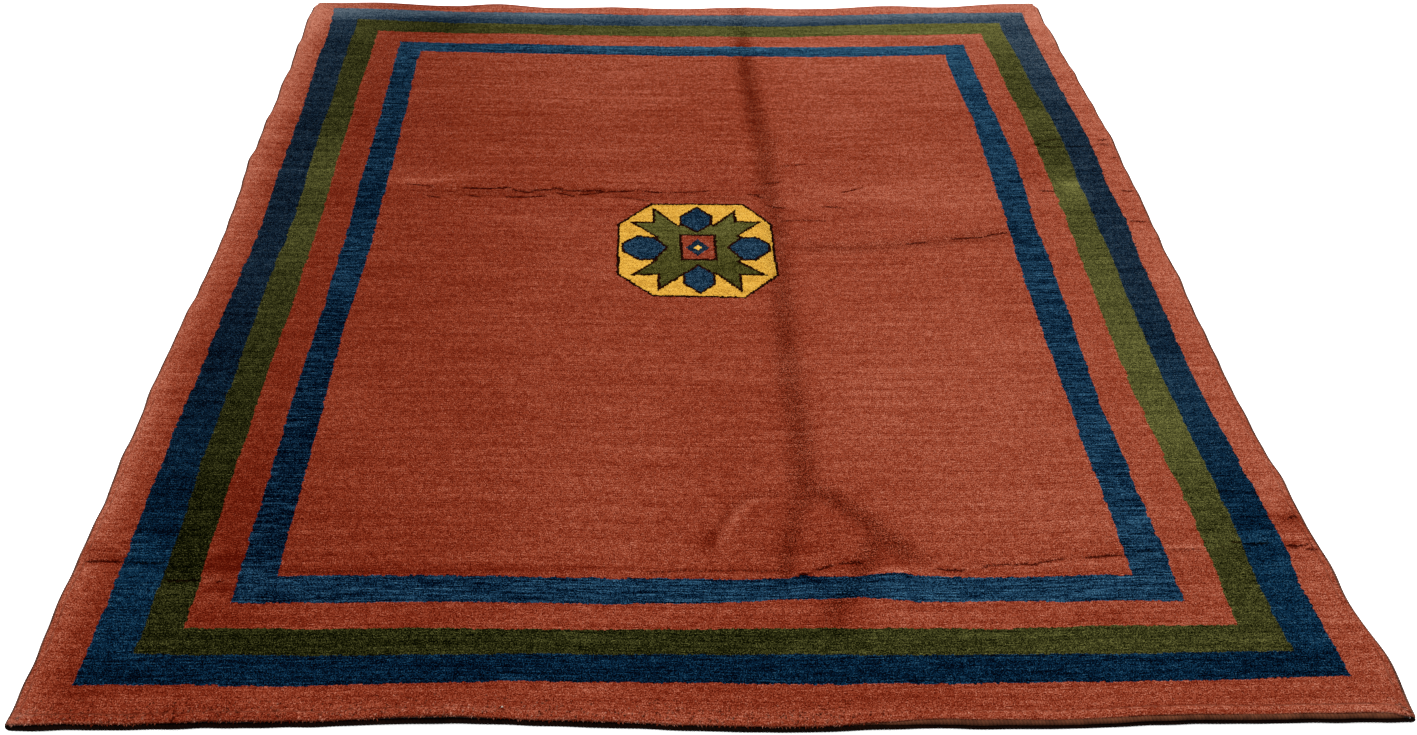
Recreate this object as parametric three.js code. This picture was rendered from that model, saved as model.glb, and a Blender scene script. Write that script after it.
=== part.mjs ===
// Gabbeh rug: a knotted wool rug lying on the floor, with the fold marks and raised
// wrinkles that it has kept from being stored folded. Millimetres, +Z up.
// X runs across the rug and Y along it, and the near end is the one at -Y.
import * as THREE from 'three';

// Driving dimensions
const WIDTH = 2000;
const LENGTH = 2400;
const FOUNDATION = 4;
const PILE = 10;
const THICKNESS = FOUNDATION + PILE;
const SELVEDGE_DIAMETER = 7;
const SELVEDGE_SIDES = 8;
const GAP = 0.4;

// Colours
const MADDER_RED = 0x8e3a25;
const DARK_BROWN = 0x33201a;

const HALF_WIDTH = WIDTH / 2;
const HALF_LENGTH = LENGTH / 2;
const UP = new THREE.Vector3(0, 0, 1);

// How far each side lies inside the WIDTH by LENGTH rectangle, at places along that side.
const LEFT_SIDE = [
  { at: -1200, inset: 0 },
  { at: -1050, inset: 2 },
  { at: -890, inset: 2 },
  { at: -700, inset: 6 },
  { at: -390, inset: 5 },
  { at: -130, inset: 15 },
  { at: 15, inset: 19 },
  { at: 170, inset: 15 },
  { at: 300, inset: 8 },
  { at: 835, inset: 8 },
  { at: 1067, inset: 4 },
  { at: 1200, inset: 0 },
];
const RIGHT_SIDE = [
  { at: -1200, inset: 9 },
  { at: -1130, inset: 2 },
  { at: -978, inset: 15 },
  { at: -800, inset: 18 },
  { at: -500, inset: 25 },
  { at: -265, inset: 19 },
  { at: 13, inset: 12 },
  { at: 252, inset: 5 },
  { at: 530, inset: 0 },
  { at: 837, inset: 6 },
  { at: 1073, inset: 11 },
  { at: 1200, inset: 9 },
];
const NEAR_END = [
  { at: -1000, inset: 8 },
  { at: -666, inset: 11 },
  { at: -358, inset: 16 },
  { at: -104, inset: 7 },
  { at: 93, inset: 0 },
  { at: 263, inset: 5 },
  { at: 461, inset: 4 },
  { at: 690, inset: 11 },
  { at: 1000, inset: 12 },
];
const FAR_END = [
  { at: -1000, inset: 0 },
  { at: -757, inset: 19 },
  { at: -537, inset: 25 },
  { at: -316, inset: 37 },
  { at: 0, inset: 42 },
  { at: 455, inset: 41 },
  { at: 677, inset: 34 },
  { at: 901, inset: 20 },
  { at: 1000, inset: 4 },
];
const CORNER_RADII = { nearLeft: 20, nearRight: 20, farLeft: 34, farRight: 28 };

// Between those places the two selvedges scallop a little.
const SCALLOPS = [
  { wavelength: 190, depth: 1.6, shift: 0.4 },
  { wavelength: 83, depth: 1.1, shift: 2.1 },
];

// Soft valleys pressed into the pile, each along a path of x, y places.
const VALLEYS = [
  // lengthwise storage fold, from the far border down to the wrinkle by the near border
  {
    sink: 3.6,
    halfWidth: 27,
    path: [[160, 1180], [191, 544], [176, 209], [168, -170], [161, -475], [156, -742]],
  },
  // it forks there, round a raised wrinkle
  { sink: 3.4, halfWidth: 22, path: [[156, -720], [147, -797], [134, -836], [118, -905]] },
  { sink: 4, halfWidth: 24, path: [[190, -722], [233, -765], [271, -830], [262, -880], [200, -960]] },
  // outer left arm of that wrinkle
  { sink: 2.4, halfWidth: 22, path: [[62, -742], [25, -800], [10, -850]] },
  // crosswise storage fold, whose left and right parts do not meet
  { sink: 2.6, halfWidth: 24, path: [[-700, 232], [-420, 226], [-80, 216], [150, 200]] },
  { sink: 3.4, halfWidth: 26, path: [[300, 0], [470, 12], [600, 34], [800, 52], [985, 66]] },
  // second crosswise fold, close to the near border
  { sink: 2.2, halfWidth: 18, path: [[-975, -872], [-860, -878], [-735, -922]] },
  { sink: 2.6, halfWidth: 18, path: [[330, -905], [600, -872], [800, -858], [980, -846]] },
  // short lengthwise wrinkles at the far end
  { sink: 2.4, halfWidth: 30, path: [[-585, 1160], [-620, 1005]] },
  { sink: 2, halfWidth: 30, path: [[330, 1150], [352, 1010]] },
  // small slanting wrinkle in the right margin
  { sink: 2.2, halfWidth: 18, path: [[935, -805], [985, -775]] },
];
const VALLEY_TAPER = 90;

// Places where the whole cloth stands up off the floor, as soft oval rises.
const RISES = [
  // the wrinkle in the fork of the lengthwise fold, and its two neighbours
  { x: 200, y: -822, across: 78, along: 100, lift: 8 },
  { x: 84, y: -828, across: 72, along: 92, lift: 5 },
  { x: 338, y: -838, across: 66, along: 90, lift: 4 },
  // shoulders of the crosswise folds
  { x: -330, y: 268, across: 330, along: 52, lift: 3 },
  { x: 560, y: -34, across: 360, along: 58, lift: 4 },
  { x: 640, y: -905, across: 330, along: 46, lift: 3.5 },
  { x: -860, y: -925, across: 150, along: 46, lift: 3 },
  // shoulders of the lengthwise fold
  { x: 262, y: 620, across: 62, along: 420, lift: 2.6 },
  { x: 84, y: 620, across: 62, along: 420, lift: 2 },
  { x: 246, y: -330, across: 60, along: 360, lift: 2.2 },
  // near end, lifted in long waves
  { x: -940, y: -1205, across: 130, along: 80, lift: 3 },
  { x: -690, y: -1205, across: 170, along: 90, lift: 5 },
  { x: -400, y: -1205, across: 170, along: 100, lift: 8 },
  { x: -170, y: -1205, across: 110, along: 80, lift: 3 },
  { x: 330, y: -1205, across: 170, along: 80, lift: 3 },
  { x: 640, y: -1205, across: 160, along: 90, lift: 5 },
  { x: 910, y: -1205, across: 150, along: 90, lift: 6 },
  // far end
  { x: -800, y: 1195, across: 170, along: 130, lift: 6 },
  { x: -480, y: 1185, across: 130, along: 130, lift: 7 },
  { x: -170, y: 1170, across: 150, along: 110, lift: 4 },
  { x: 170, y: 1170, across: 130, along: 110, lift: 5 },
  { x: 560, y: 1180, across: 170, along: 130, lift: 7 },
  { x: 870, y: 1195, across: 140, along: 120, lift: 5 },
  // left margin, where the selvedge is a little too long for the cloth
  { x: -1000, y: 1080, across: 90, along: 66, lift: 4 },
  { x: -1000, y: 930, across: 90, along: 62, lift: 5 },
  { x: -1000, y: 750, across: 100, along: 76, lift: 5 },
  { x: -1000, y: 545, across: 90, along: 80, lift: 4 },
  { x: -1000, y: 365, across: 110, along: 74, lift: 6 },
  { x: -1000, y: 30, across: 100, along: 96, lift: 5 },
  { x: -1000, y: -205, across: 90, along: 78, lift: 4 },
  { x: -1000, y: -480, across: 80, along: 72, lift: 4 },
  { x: -1000, y: -665, across: 100, along: 84, lift: 6 },
  { x: -1000, y: -940, across: 90, along: 70, lift: 4 },
  // right margin
  { x: 1000, y: 1010, across: 80, along: 90, lift: 4 },
  { x: 1000, y: 780, across: 80, along: 84, lift: 3 },
  { x: 1000, y: 470, across: 90, along: 100, lift: 4 },
  { x: 1000, y: 180, across: 90, along: 90, lift: 4 },
  { x: 1000, y: -90, across: 90, along: 84, lift: 5 },
  { x: 1000, y: -400, across: 80, along: 90, lift: 3 },
  { x: 1000, y: -700, across: 90, along: 70, lift: 4 },
  { x: 1000, y: -900, across: 80, along: 60, lift: 4 },
  { x: 1000, y: -1070, across: 90, along: 66, lift: 4 },
];

// The rim's section from the top down: how far in from the outermost reach, and how far
// up from the underside. On the long sides the pile overhangs a recess for the edge cord.
// At the ends it stands on the turned-under hem, which bulges out below it.
const RECESS = SELVEDGE_DIAMETER + GAP;
const SIDE_SECTION = [
  { inward: 15, up: THICKNESS },
  { inward: 8.5, up: THICKNESS - 1 },
  { inward: 4.6, up: THICKNESS - 3.2 },
  { inward: 3, up: THICKNESS - 5.2 },
  { inward: 4.2, up: RECESS + GAP },
  { inward: RECESS, up: RECESS },
  { inward: RECESS, up: 0 },
];
const END_SECTION = [
  { inward: 15, up: THICKNESS },
  { inward: 8, up: THICKNESS - 0.8 },
  { inward: 3.6, up: THICKNESS - 3 },
  { inward: 2.2, up: THICKNESS - 5.4 },
  { inward: 3.4, up: FOUNDATION + 2.6 },
  { inward: 0, up: FOUNDATION - 0.6 },
  { inward: 3, up: 0 },
];

// Spacing of the lines that carry the surface: fine along the folds and at the rim.
const RIM_SPACING = 10;
const RIM_GROWTH = 0.7;
const ACROSS = { coarse: 92, fine: 28, bands: [{ from: 0, to: 320 }] };
const ALONG = {
  coarse: 58,
  fine: 26,
  bands: [
    { from: -950, to: -740 },
    { from: -20, to: 70 },
    { from: 190, to: 250 },
  ],
};
const BAND_GROWTH = 0.8;
const ROUNDING = 1e-9;

// A smooth curve through the rows of a side table, read at a place along that side.
function insetAt(rows, place) {
  const last = rows.length - 1;
  const found = rows.findIndex((row) => row.at > place);
  const next = THREE.MathUtils.clamp(found < 0 ? last : found, 1, last);
  const [start, end] = [rows[next - 1], rows[next]];
  const slopeAt = (i) => {
    const [before, after] = [rows[Math.max(i - 1, 0)], rows[Math.min(i + 1, last)]];
    return (after.inset - before.inset) / (after.at - before.at);
  };
  const span = end.at - start.at;
  const t = THREE.MathUtils.clamp((place - start.at) / span, 0, 1);
  const eased = t * t * (3 - 2 * t);
  const leaving = t * (1 - t) ** 2 * slopeAt(next - 1) * span;
  const arriving = t * t * (t - 1) * slopeAt(next) * span;
  return THREE.MathUtils.lerp(start.inset, end.inset, eased) + leaving + arriving;
}

function scallopAt(place) {
  const turns = SCALLOPS.map(({ wavelength, depth, shift }) => {
    return depth * (0.5 + 0.5 * Math.sin((2 * Math.PI * place) / wavelength + shift));
  });
  return turns.reduce((sum, turn) => sum + turn, 0);
}

const leftX = (y) => -HALF_WIDTH + insetAt(LEFT_SIDE, y) + scallopAt(y);
const rightX = (y) => HALF_WIDTH - insetAt(RIGHT_SIDE, y) - scallopAt(-y);
const nearY = (x) => -HALF_LENGTH + insetAt(NEAR_END, x);
const farY = (x) => HALF_LENGTH - insetAt(FAR_END, x);

// The distance from a place to a path, and from its foot on the path to the nearer end.
function measureToPath(place, path) {
  const points = path.map(([x, y]) => new THREE.Vector2(x, y));
  const total = points.slice(1).reduce((sum, point, i) => sum + point.distanceTo(points[i]), 0);
  let walked = 0;
  let nearest = { distance: Infinity, fromEnd: 0 };
  points.slice(1).forEach((end, i) => {
    const start = points[i];
    const length = end.distanceTo(start);
    const along = end.clone().sub(start).divideScalar(length);
    const foot = THREE.MathUtils.clamp(place.clone().sub(start).dot(along), 0, length);
    const distance = place.distanceTo(start.clone().addScaledVector(along, foot));
    if (distance < nearest.distance) {
      nearest = { distance, fromEnd: Math.min(walked + foot, total - walked - foot) };
    }
    walked += length;
  });
  return nearest;
}

// How far the pile is pressed down at a place, by the deepest valley there.
function sinkAt(x, y) {
  const place = new THREE.Vector2(x, y);
  const depths = VALLEYS.map(({ sink, halfWidth, path }) => {
    const { distance, fromEnd } = measureToPath(place, path);
    const fade = THREE.MathUtils.smoothstep(fromEnd, -VALLEY_TAPER / 2, VALLEY_TAPER);
    return sink * fade * Math.exp(-((distance / halfWidth) ** 2));
  });
  return Math.max(...depths);
}

// How far the cloth stands up off the floor at a place.
function liftAt(x, y) {
  const lifts = RISES.map((rise) => {
    const reach = Math.hypot((x - rise.x) / rise.across, (y - rise.y) / rise.along);
    return rise.lift * (0.5 + 0.5 * Math.cos(Math.PI * Math.min(reach, 1)));
  });
  return lifts.reduce((sum, lift) => sum + lift, 0);
}

const topAt = (x, y) => THICKNESS + liftAt(x, y) - sinkAt(x, y);

// An even number of intervals across a span, worked out millimetre by millimetre.
function gradedLines(low, high, { coarse, fine, bands }) {
  const spacingAt = (place) => {
    const toBands = bands.map(({ from, to }) => Math.max(from - place, place - to, 0));
    const toRim = Math.min(place - low, high - place);
    const inBand = fine + BAND_GROWTH * Math.min(...toBands);
    return Math.min(coarse, inBand, RIM_SPACING + RIM_GROWTH * toRim);
  };
  const passed = [0];
  for (let place = low; place < high; place += 1) {
    passed.push(passed.at(-1) + 1 / spacingAt(place + 0.5));
  }
  const intervals = 2 * Math.round(passed.at(-1) / 2);
  const lines = [];
  for (let i = 0; i <= intervals; i += 1) {
    const share = (i / intervals) * passed.at(-1);
    lines.push(low + passed.findIndex((sum) => sum >= share - ROUNDING));
  }
  return lines;
}

const COLUMNS = gradedLines(-HALF_WIDTH, HALF_WIDTH, ACROSS);
const ROWS = gradedLines(-HALF_LENGTH, HALF_LENGTH, ALONG);
const LAST_COLUMN = COLUMNS.length - 1;
const LAST_ROW = ROWS.length - 1;

// Places in the rim's loop of its four corners, counter-clockwise.
const CORNERS = {
  nearLeft: 0,
  nearRight: LAST_COLUMN,
  farRight: LAST_COLUMN + LAST_ROW,
  farLeft: 2 * LAST_COLUMN + LAST_ROW,
};
const LOOP_LENGTH = 2 * (LAST_COLUMN + LAST_ROW);

// One side's points, with both corners rounded. Each corner's arc is shared between its
// two sides, so the sides meet at the middle of the arc.
function sidePoints(lines, startRadius, endRadius) {
  const arcAt = (distance, radius) => {
    if (distance >= radius) {
      return { along: distance, inward: 0 };
    }
    const angle = (Math.PI / 4) * (1 + distance / radius);
    return { along: radius * (1 - Math.cos(angle)), inward: radius * (1 - Math.sin(angle)) };
  };
  const [low, high] = [lines[0], lines.at(-1)];
  return lines.map((line) => {
    const start = arcAt(line - low, startRadius);
    const end = arcAt(high - line, endRadius);
    const place = line < (low + high) / 2 ? low + start.along : high - end.along;
    return { place, inward: start.inward + end.inward };
  });
}

// The outline as one closed loop, counter-clockwise from the near left corner.
function outlineLoop() {
  const { nearLeft, nearRight, farLeft, farRight } = CORNER_RADII;
  const acrossEnd = (startRadius, endRadius, edgeAt, sign) => {
    return sidePoints(COLUMNS, startRadius, endRadius).map(({ place, inward }) => {
      const y = edgeAt(place) + sign * inward;
      const x = THREE.MathUtils.mapLinear(place, -HALF_WIDTH, HALF_WIDTH, leftX(y), rightX(y));
      return { point: new THREE.Vector2(x, y), side: 'end' };
    });
  };
  const alongSide = (startRadius, endRadius, edgeAt, sign, side) => {
    return sidePoints(ROWS, startRadius, endRadius).map(({ place, inward }) => {
      const x = edgeAt(place) + sign * inward;
      const y = THREE.MathUtils.mapLinear(place, -HALF_LENGTH, HALF_LENGTH, nearY(x), farY(x));
      return { point: new THREE.Vector2(x, y), side };
    });
  };
  const near = acrossEnd(nearLeft, nearRight, nearY, 1);
  const far = acrossEnd(farLeft, farRight, farY, -1);
  const left = alongSide(nearLeft, farLeft, leftX, 1, 'left');
  const right = alongSide(nearRight, farRight, rightX, -1, 'right');
  return [...near, ...right.slice(1, -1), ...far.reverse(), ...left.slice(1, -1).reverse()];
}

const OUTLINE = outlineLoop();
OUTLINE.forEach((station, i) => {
  const before = OUTLINE[(i + LOOP_LENGTH - 1) % LOOP_LENGTH].point;
  const after = OUTLINE[(i + 1) % LOOP_LENGTH].point;
  const along = after.clone().sub(before).normalize();
  const { x, y } = station.point;
  station.inward = new THREE.Vector2(-along.y, along.x);
  station.lift = liftAt(x, y);
  station.sink = sinkAt(x, y);
  const isCorner = Object.values(CORNERS).includes(i);
  station.section = station.side === 'end' && !isCorner ? END_SECTION : SIDE_SECTION;
});

// A point beside a station of the outline, a distance inward and a height up.
function besideStation({ point, inward, lift }, distance, up) {
  const flat = point.clone().addScaledVector(inward, distance);
  return new THREE.Vector3(flat.x, flat.y, lift + up);
}

// The rim's loop at one step of its section. Valleys that run out over it lower its pile.
function rimLoop(step) {
  return OUTLINE.map((station) => {
    const { inward, up } = station.section[step];
    const pileShare = Math.max(0, (up - RECESS - GAP) / (THICKNESS - RECESS - GAP));
    return besideStation(station, inward, up - station.sink * pileShare);
  });
}

// Rows of points stretched over the inside of a loop, starting and ending on its own points.
function fillLoop(loop, heightAt) {
  const { nearLeft, nearRight, farRight, farLeft } = CORNERS;
  return ROWS.map((rowLine, row) => COLUMNS.map((columnLine, column) => {
    const near = loop[nearLeft + column];
    const right = loop[nearRight + row];
    const far = loop[farLeft - column];
    const left = loop[(LOOP_LENGTH - row) % LOOP_LENGTH];
    const onRim = {
      near: row === 0,
      far: row === LAST_ROW,
      left: column === 0,
      right: column === LAST_COLUMN,
    };
    if (onRim.near || onRim.far) {
      return onRim.near ? near : far;
    }
    if (onRim.left || onRim.right) {
      return onRim.left ? left : right;
    }
    const u = (columnLine + HALF_WIDTH) / WIDTH;
    const v = (rowLine + HALF_LENGTH) / LENGTH;
    const point = new THREE.Vector3()
      .addScaledVector(near, 1 - v)
      .addScaledVector(far, v)
      .addScaledVector(left, 1 - u)
      .addScaledVector(right, u)
      .addScaledVector(loop[nearLeft], -(1 - u) * (1 - v))
      .addScaledVector(loop[nearRight], -u * (1 - v))
      .addScaledVector(loop[farLeft], -(1 - u) * v)
      .addScaledVector(loop[farRight], -u * v);
    point.z = heightAt(point.x, point.y);
    return point;
  }));
}

// Triangles between two loops of the same length, the second one further down.
function stitchLoops(upper, lower) {
  return upper.flatMap((point, i) => {
    const next = (i + 1) % upper.length;
    return [[point, lower[i], lower[next]], [point, lower[next], upper[next]]];
  });
}

function topTriangles(grid) {
  return grid.slice(1).flatMap((far, row) => far.slice(1).flatMap((farRight, column) => {
    const near = grid[row];
    const farLeft = far[column];
    return [
      [near[column], near[column + 1], farRight],
      [near[column], farRight, farLeft],
    ];
  }));
}

// The underside takes every second line, and its outer cells keep the rim's own points.
function undersideTriangles(grid) {
  const triangles = [];
  for (let row = 0; row < LAST_ROW; row += 2) {
    for (let column = 0; column < LAST_COLUMN; column += 2) {
      const between = (wanted, i, j) => (wanted ? [grid[i][j]] : []);
      const [nearRim, farRim] = [row === 0, row + 2 === LAST_ROW];
      const [leftRim, rightRim] = [column === 0, column + 2 === LAST_COLUMN];
      const ring = [
        grid[row][column],
        ...between(leftRim, row + 1, column),
        grid[row + 2][column],
        ...between(farRim, row + 2, column + 1),
        grid[row + 2][column + 2],
        ...between(rightRim, row + 1, column + 2),
        grid[row][column + 2],
        ...between(nearRim, row, column + 1),
      ];
      const innerRow = nearRim ? row + 2 : row;
      const innerColumn = leftRim ? column + 2 : column;
      const inner = ring.indexOf(grid[innerRow][innerColumn]);
      const turned = [...ring.slice(inner), ...ring.slice(0, inner)];
      for (let i = 1; i + 1 < turned.length; i += 1) {
        triangles.push([turned[0], turned[i], turned[i + 1]]);
      }
    }
  }
  return triangles;
}

function geometryOf(triangles) {
  const positions = triangles.flat().flatMap(({ x, y, z }) => [x, y, z]);
  const geometry = new THREE.BufferGeometry();
  geometry.setAttribute('position', new THREE.Float32BufferAttribute(positions, 3));
  geometry.computeVertexNormals();
  return geometry;
}

// The knotted cloth: its pile surface, rim and underside.
function rugGeometry() {
  const loops = SIDE_SECTION.map((_, step) => rimLoop(step));
  const rim = loops.slice(1).flatMap((loop, i) => stitchLoops(loops[i], loop));
  const top = topTriangles(fillLoop(loops[0], topAt));
  const underside = undersideTriangles(fillLoop(loops.at(-1), liftAt));
  return geometryOf([...top, ...rim, ...underside]);
}

// An overcast edge cord, lying in the recess of one long side. Each end is rounded by a
// last ring that is thinner and a share of the radius further on.
const TIP = { reach: 0.6, thinned: 0.55 };

function selvedgeGeometry(side) {
  const stations = OUTLINE.filter((station) => station.side === side);
  const radius = SELVEDGE_DIAMETER / 2;
  const ringAt = (station, centre, scale) => Array.from({ length: SELVEDGE_SIDES }, (_, i) => {
    const angle = (2 * Math.PI * (i + 0.5)) / SELVEDGE_SIDES;
    const inward = new THREE.Vector3(station.inward.x, station.inward.y, 0);
    return centre.clone()
      .addScaledVector(inward, -radius * scale * Math.cos(angle))
      .addScaledVector(UP, radius * scale * Math.sin(angle));
  });
  const centreOf = (station) => besideStation(station, radius, radius);
  const tipRing = (station, neighbour) => {
    const centre = centreOf(station);
    const past = centre.clone().sub(centreOf(neighbour)).setLength(radius * TIP.reach);
    return ringAt(station, centre.add(past), TIP.thinned);
  };
  const rings = [
    tipRing(stations[0], stations[1]),
    ...stations.map((station) => ringAt(station, centreOf(station), 1)),
    tipRing(stations.at(-1), stations.at(-2)),
  ];
  const walls = rings.slice(1).flatMap((ring, i) => stitchLoops(rings[i], ring));
  const capOf = (ring) => ring.slice(2).map((point, i) => [ring[0], ring[i + 1], point]);
  const endCap = capOf(rings.at(-1)).map(([a, b, c]) => [a, c, b]);
  return geometryOf([...walls, ...capOf(rings[0]), ...endCap]);
}

function clothMesh(name, geometry, color) {
  const material = new THREE.MeshStandardMaterial({ color, roughness: 0.95, metalness: 0 });
  const mesh = new THREE.Mesh(geometry, material);
  mesh.name = name;
  return mesh;
}

const rug = new THREE.Group();
rug.add(
  clothMesh('rug', rugGeometry(), MADDER_RED),
  clothMesh('selvedge_left', selvedgeGeometry('left'), DARK_BROWN),
  clothMesh('selvedge_right', selvedgeGeometry('right'), DARK_BROWN),
);

// The origin is the middle of the whole rug's underside.
const reach = new THREE.Box3().setFromObject(rug);
const middle = reach.getCenter(new THREE.Vector3());
rug.position.set(-middle.x, -middle.y, -reach.min.z);

export default rug;
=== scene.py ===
# Gabbeh rug: a hand-knotted wool rug lying on a pale studio floor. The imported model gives
# the cloth's box and places. The sheet below follows the same outline, folds and rises,
# and adds the knots, stripes, medallion, parted rows, edge tufts and overcast edges.
# Lengths in the tables are in millimetres, meshes are in metres.
import math

import bpy
import numpy as np
from mathutils import Matrix, Vector


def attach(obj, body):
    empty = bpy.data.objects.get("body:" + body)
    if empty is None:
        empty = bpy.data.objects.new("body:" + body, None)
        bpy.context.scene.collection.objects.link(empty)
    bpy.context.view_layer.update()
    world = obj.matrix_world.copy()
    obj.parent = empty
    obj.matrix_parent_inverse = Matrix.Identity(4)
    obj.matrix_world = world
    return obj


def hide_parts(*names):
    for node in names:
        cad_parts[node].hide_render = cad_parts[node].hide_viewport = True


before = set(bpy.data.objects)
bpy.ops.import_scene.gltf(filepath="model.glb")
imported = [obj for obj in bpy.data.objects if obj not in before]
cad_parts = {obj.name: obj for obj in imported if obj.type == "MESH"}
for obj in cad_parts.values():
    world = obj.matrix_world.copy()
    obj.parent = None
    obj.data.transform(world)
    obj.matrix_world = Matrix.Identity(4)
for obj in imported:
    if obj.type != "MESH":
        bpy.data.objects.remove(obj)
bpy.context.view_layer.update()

MM = 0.001
HALF_WIDTH, HALF_LENGTH = 1000, 1200
FOUNDATION, PILE = 4, 10
THICKNESS = FOUNDATION + PILE
CORD = 7  # the edge cords' diameter
RECESS = CORD + 0.4  # how high up the rim the cords and hems lie in

# Nodes
LOWEST, HIGHEST = -0.4, 1.4  # the range of levels that the wools have shades for
SCALE = 1 / (HIGHEST - LOWEST)


class Nodes:
    """A material and its nodes, which are linked as they are added."""

    def __init__(self, name):
        self.material = bpy.data.materials.new(name)
        self.material.use_nodes = True
        self.tree = self.material.node_tree
        self.tree.nodes.clear()

    def add(self, kind, inputs=None, **settings):
        """A node. Its inputs go by name or number, and are values or sockets to link."""
        node = self.tree.nodes.new("ShaderNode" + kind)
        for name, value in settings.items():
            setattr(node, name, value)
        for name, value in (inputs or {}).items():
            if isinstance(value, bpy.types.NodeSocket):
                self.tree.links.new(value, node.inputs[name])
            else:
                node.inputs[name].default_value = value
        return node

    def math(self, operation, *values, clamp=False):
        inputs = dict(enumerate(values))
        return self.add("Math", inputs, operation=operation, use_clamp=clamp).outputs[0]

    def times(self, value, factor, plus=0.0):
        return self.math("MULTIPLY_ADD", value, factor, plus)

    def over(self, value, limit=0.0):
        """1 where the value is over the limit, and 0 elsewhere."""
        return self.math("GREATER_THAN", value, limit)

    def smallest(self, least, *values):
        for value in values:
            least = self.math("MINIMUM", least, value)
        return least

    def vector(self, operation, *values):
        node = self.add("VectorMath", dict(enumerate(values)), operation=operation)
        return node.outputs["Value" if operation == "DOT_PRODUCT" else "Vector"]

    def scaled(self, vector, factor):
        inputs = {0: vector, "Scale": factor}
        return self.add("VectorMath", inputs, operation="SCALE").outputs["Vector"]

    def split(self, vector):
        return self.add("SeparateXYZ", {"Vector": vector}).outputs

    def mix(self, factor, first, second):
        inputs = {"Factor": factor, 6: first, 7: second}
        return self.add("Mix", inputs, data_type="RGBA").outputs[2]

    def span(self, value, from_low, from_high, to_low=0.0, to_high=1.0, kind="LINEAR"):
        inputs = dict(enumerate((value, from_low, from_high, to_low, to_high)))
        return self.add("MapRange", inputs, interpolation_type=kind).outputs[0]

    def ramp(self, level, shades):
        """The colour at a level. The shades are levels with their display values."""
        node = self.add("ValToRGB", {"Fac": self.times(level, SCALE, -LOWEST * SCALE)})
        stops = node.color_ramp.elements
        while len(stops) < len(shades):
            stops.new(0.5)
        for stop, (at, *colour) in zip(stops, shades):
            stop.position = (at - LOWEST) * SCALE
            stop.color = (*(v / 255 for v in colour), 1)
        return node.outputs[0]

    def place(self):
        """The place on the object, in millimetres."""
        return self.scaled(self.add("TexCoord").outputs["Object"], 1 / MM)

    def noise(self, vector, scale=1.0, detail=2.0, rough=0.5):
        inputs = {"Vector": vector, "Scale": scale, "Detail": detail, "Roughness": rough}
        return self.add("TexNoise", inputs).outputs[0]

    def grain(self, place, across, along, detail):
        """Noise in cells of a length across and a length along."""
        cells = self.vector("MULTIPLY", place, (1 / across, 1 / along, 0.0))
        return self.noise(cells, 1.0, detail, 0.6)

    def attribute(self, name, output="Vector"):
        return self.add("Attribute", attribute_name=name).outputs[output]

    def bump(self, height, distance, strength):
        inputs = {"Height": height, "Distance": distance, "Strength": strength}
        return self.add("Bump", inputs).outputs[0]

    def surface(self, **inputs):
        """The material, finished. Constants go straight onto the shader's own sockets."""
        named = {name.replace("_", " "): value for name, value in inputs.items()}
        shader = self.add("BsdfPrincipled", named)
        self.add("OutputMaterial", {"Surface": shader.outputs[0]})
        return self.material


def srgb(red, green, blue):
    """A colour read as 0..255 display values, in linear light."""
    values = [v / 255 for v in (red, green, blue)]
    return (*(v / 12.92 if v <= 0.04045 else ((v + 0.055) / 1.055) ** 2.4 for v in values), 1.0)


# Camera, light and floor
PHOTO_WIDTH = 1417
FOCAL_PX, CENTRE_X_PX = 1383.5, 651.0
SENSOR = 36.0
CAMERA_AT = Vector((-0.1092, -2.3885, 1.6205))
PITCH, YAW, ROLL = math.radians(38.9), math.radians(-0.69), math.radians(0.32)
NEAREST, FARTHEST = 0.05, 60
WORLD_STRENGTH = 0.8
FLOOR_SIZE, FLOOR_HEIGHT = 30.0, -0.0004
FLOOR_TINTS = (0.90, 0.90, 0.90, 1), (0.93, 0.93, 0.925, 1)
FLOOR_GLOW = 0.55  # the photo's floor is lit through, so that it takes no shadow
# name, place, aim, width and length, watts
LIGHTS = [
    ("key", (0.9, 0.9, 4.6), (0, 0.1, 0), (2.6, 1.6), 270),
    ("fill", (-1.6, -2.2, 3.2), (0, -0.2, 0), (2.4, 2.4), 60),
]


def add_object(name, data):
    thing = bpy.data.objects.new(name, data)
    bpy.context.scene.collection.objects.link(thing)
    return thing


def make_camera():
    data = bpy.data.cameras.new("camera")
    data.sensor_width = SENSOR
    data.lens = SENSOR * FOCAL_PX / PHOTO_WIDTH
    data.shift_x = 0.5 - CENTRE_X_PX / PHOTO_WIDTH
    data.clip_start, data.clip_end = NEAREST, FARTHEST
    turn = (
        Matrix.Rotation(YAW, 4, "Z")
        @ Matrix.Rotation(math.pi / 2 - PITCH, 4, "X")
        @ Matrix.Rotation(ROLL, 4, "Z")
    )
    camera = add_object("camera", data)
    camera.matrix_world = Matrix.Translation(CAMERA_AT) @ turn
    bpy.context.scene.camera = camera


def make_lights():
    world = bpy.data.worlds.new("studio")
    world.use_nodes = True
    background = next(n for n in world.node_tree.nodes if n.type == "BACKGROUND")
    background.inputs["Color"].default_value = (1, 1, 1, 1)
    background.inputs["Strength"].default_value = WORLD_STRENGTH
    bpy.context.scene.world = world
    for name, at, aim, size, watts in LIGHTS:
        data = bpy.data.lights.new(name, "AREA")
        data.shape = "RECTANGLE"
        data.size, data.size_y = size
        data.energy = watts
        light = add_object(name, data)
        light.location = at
        toward = Vector(aim) - Vector(at)
        light.rotation_euler = toward.to_track_quat("-Z", "Y").to_euler()
    view = bpy.context.scene.view_settings
    view.view_transform = "Standard"
    view.look = "None"


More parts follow.
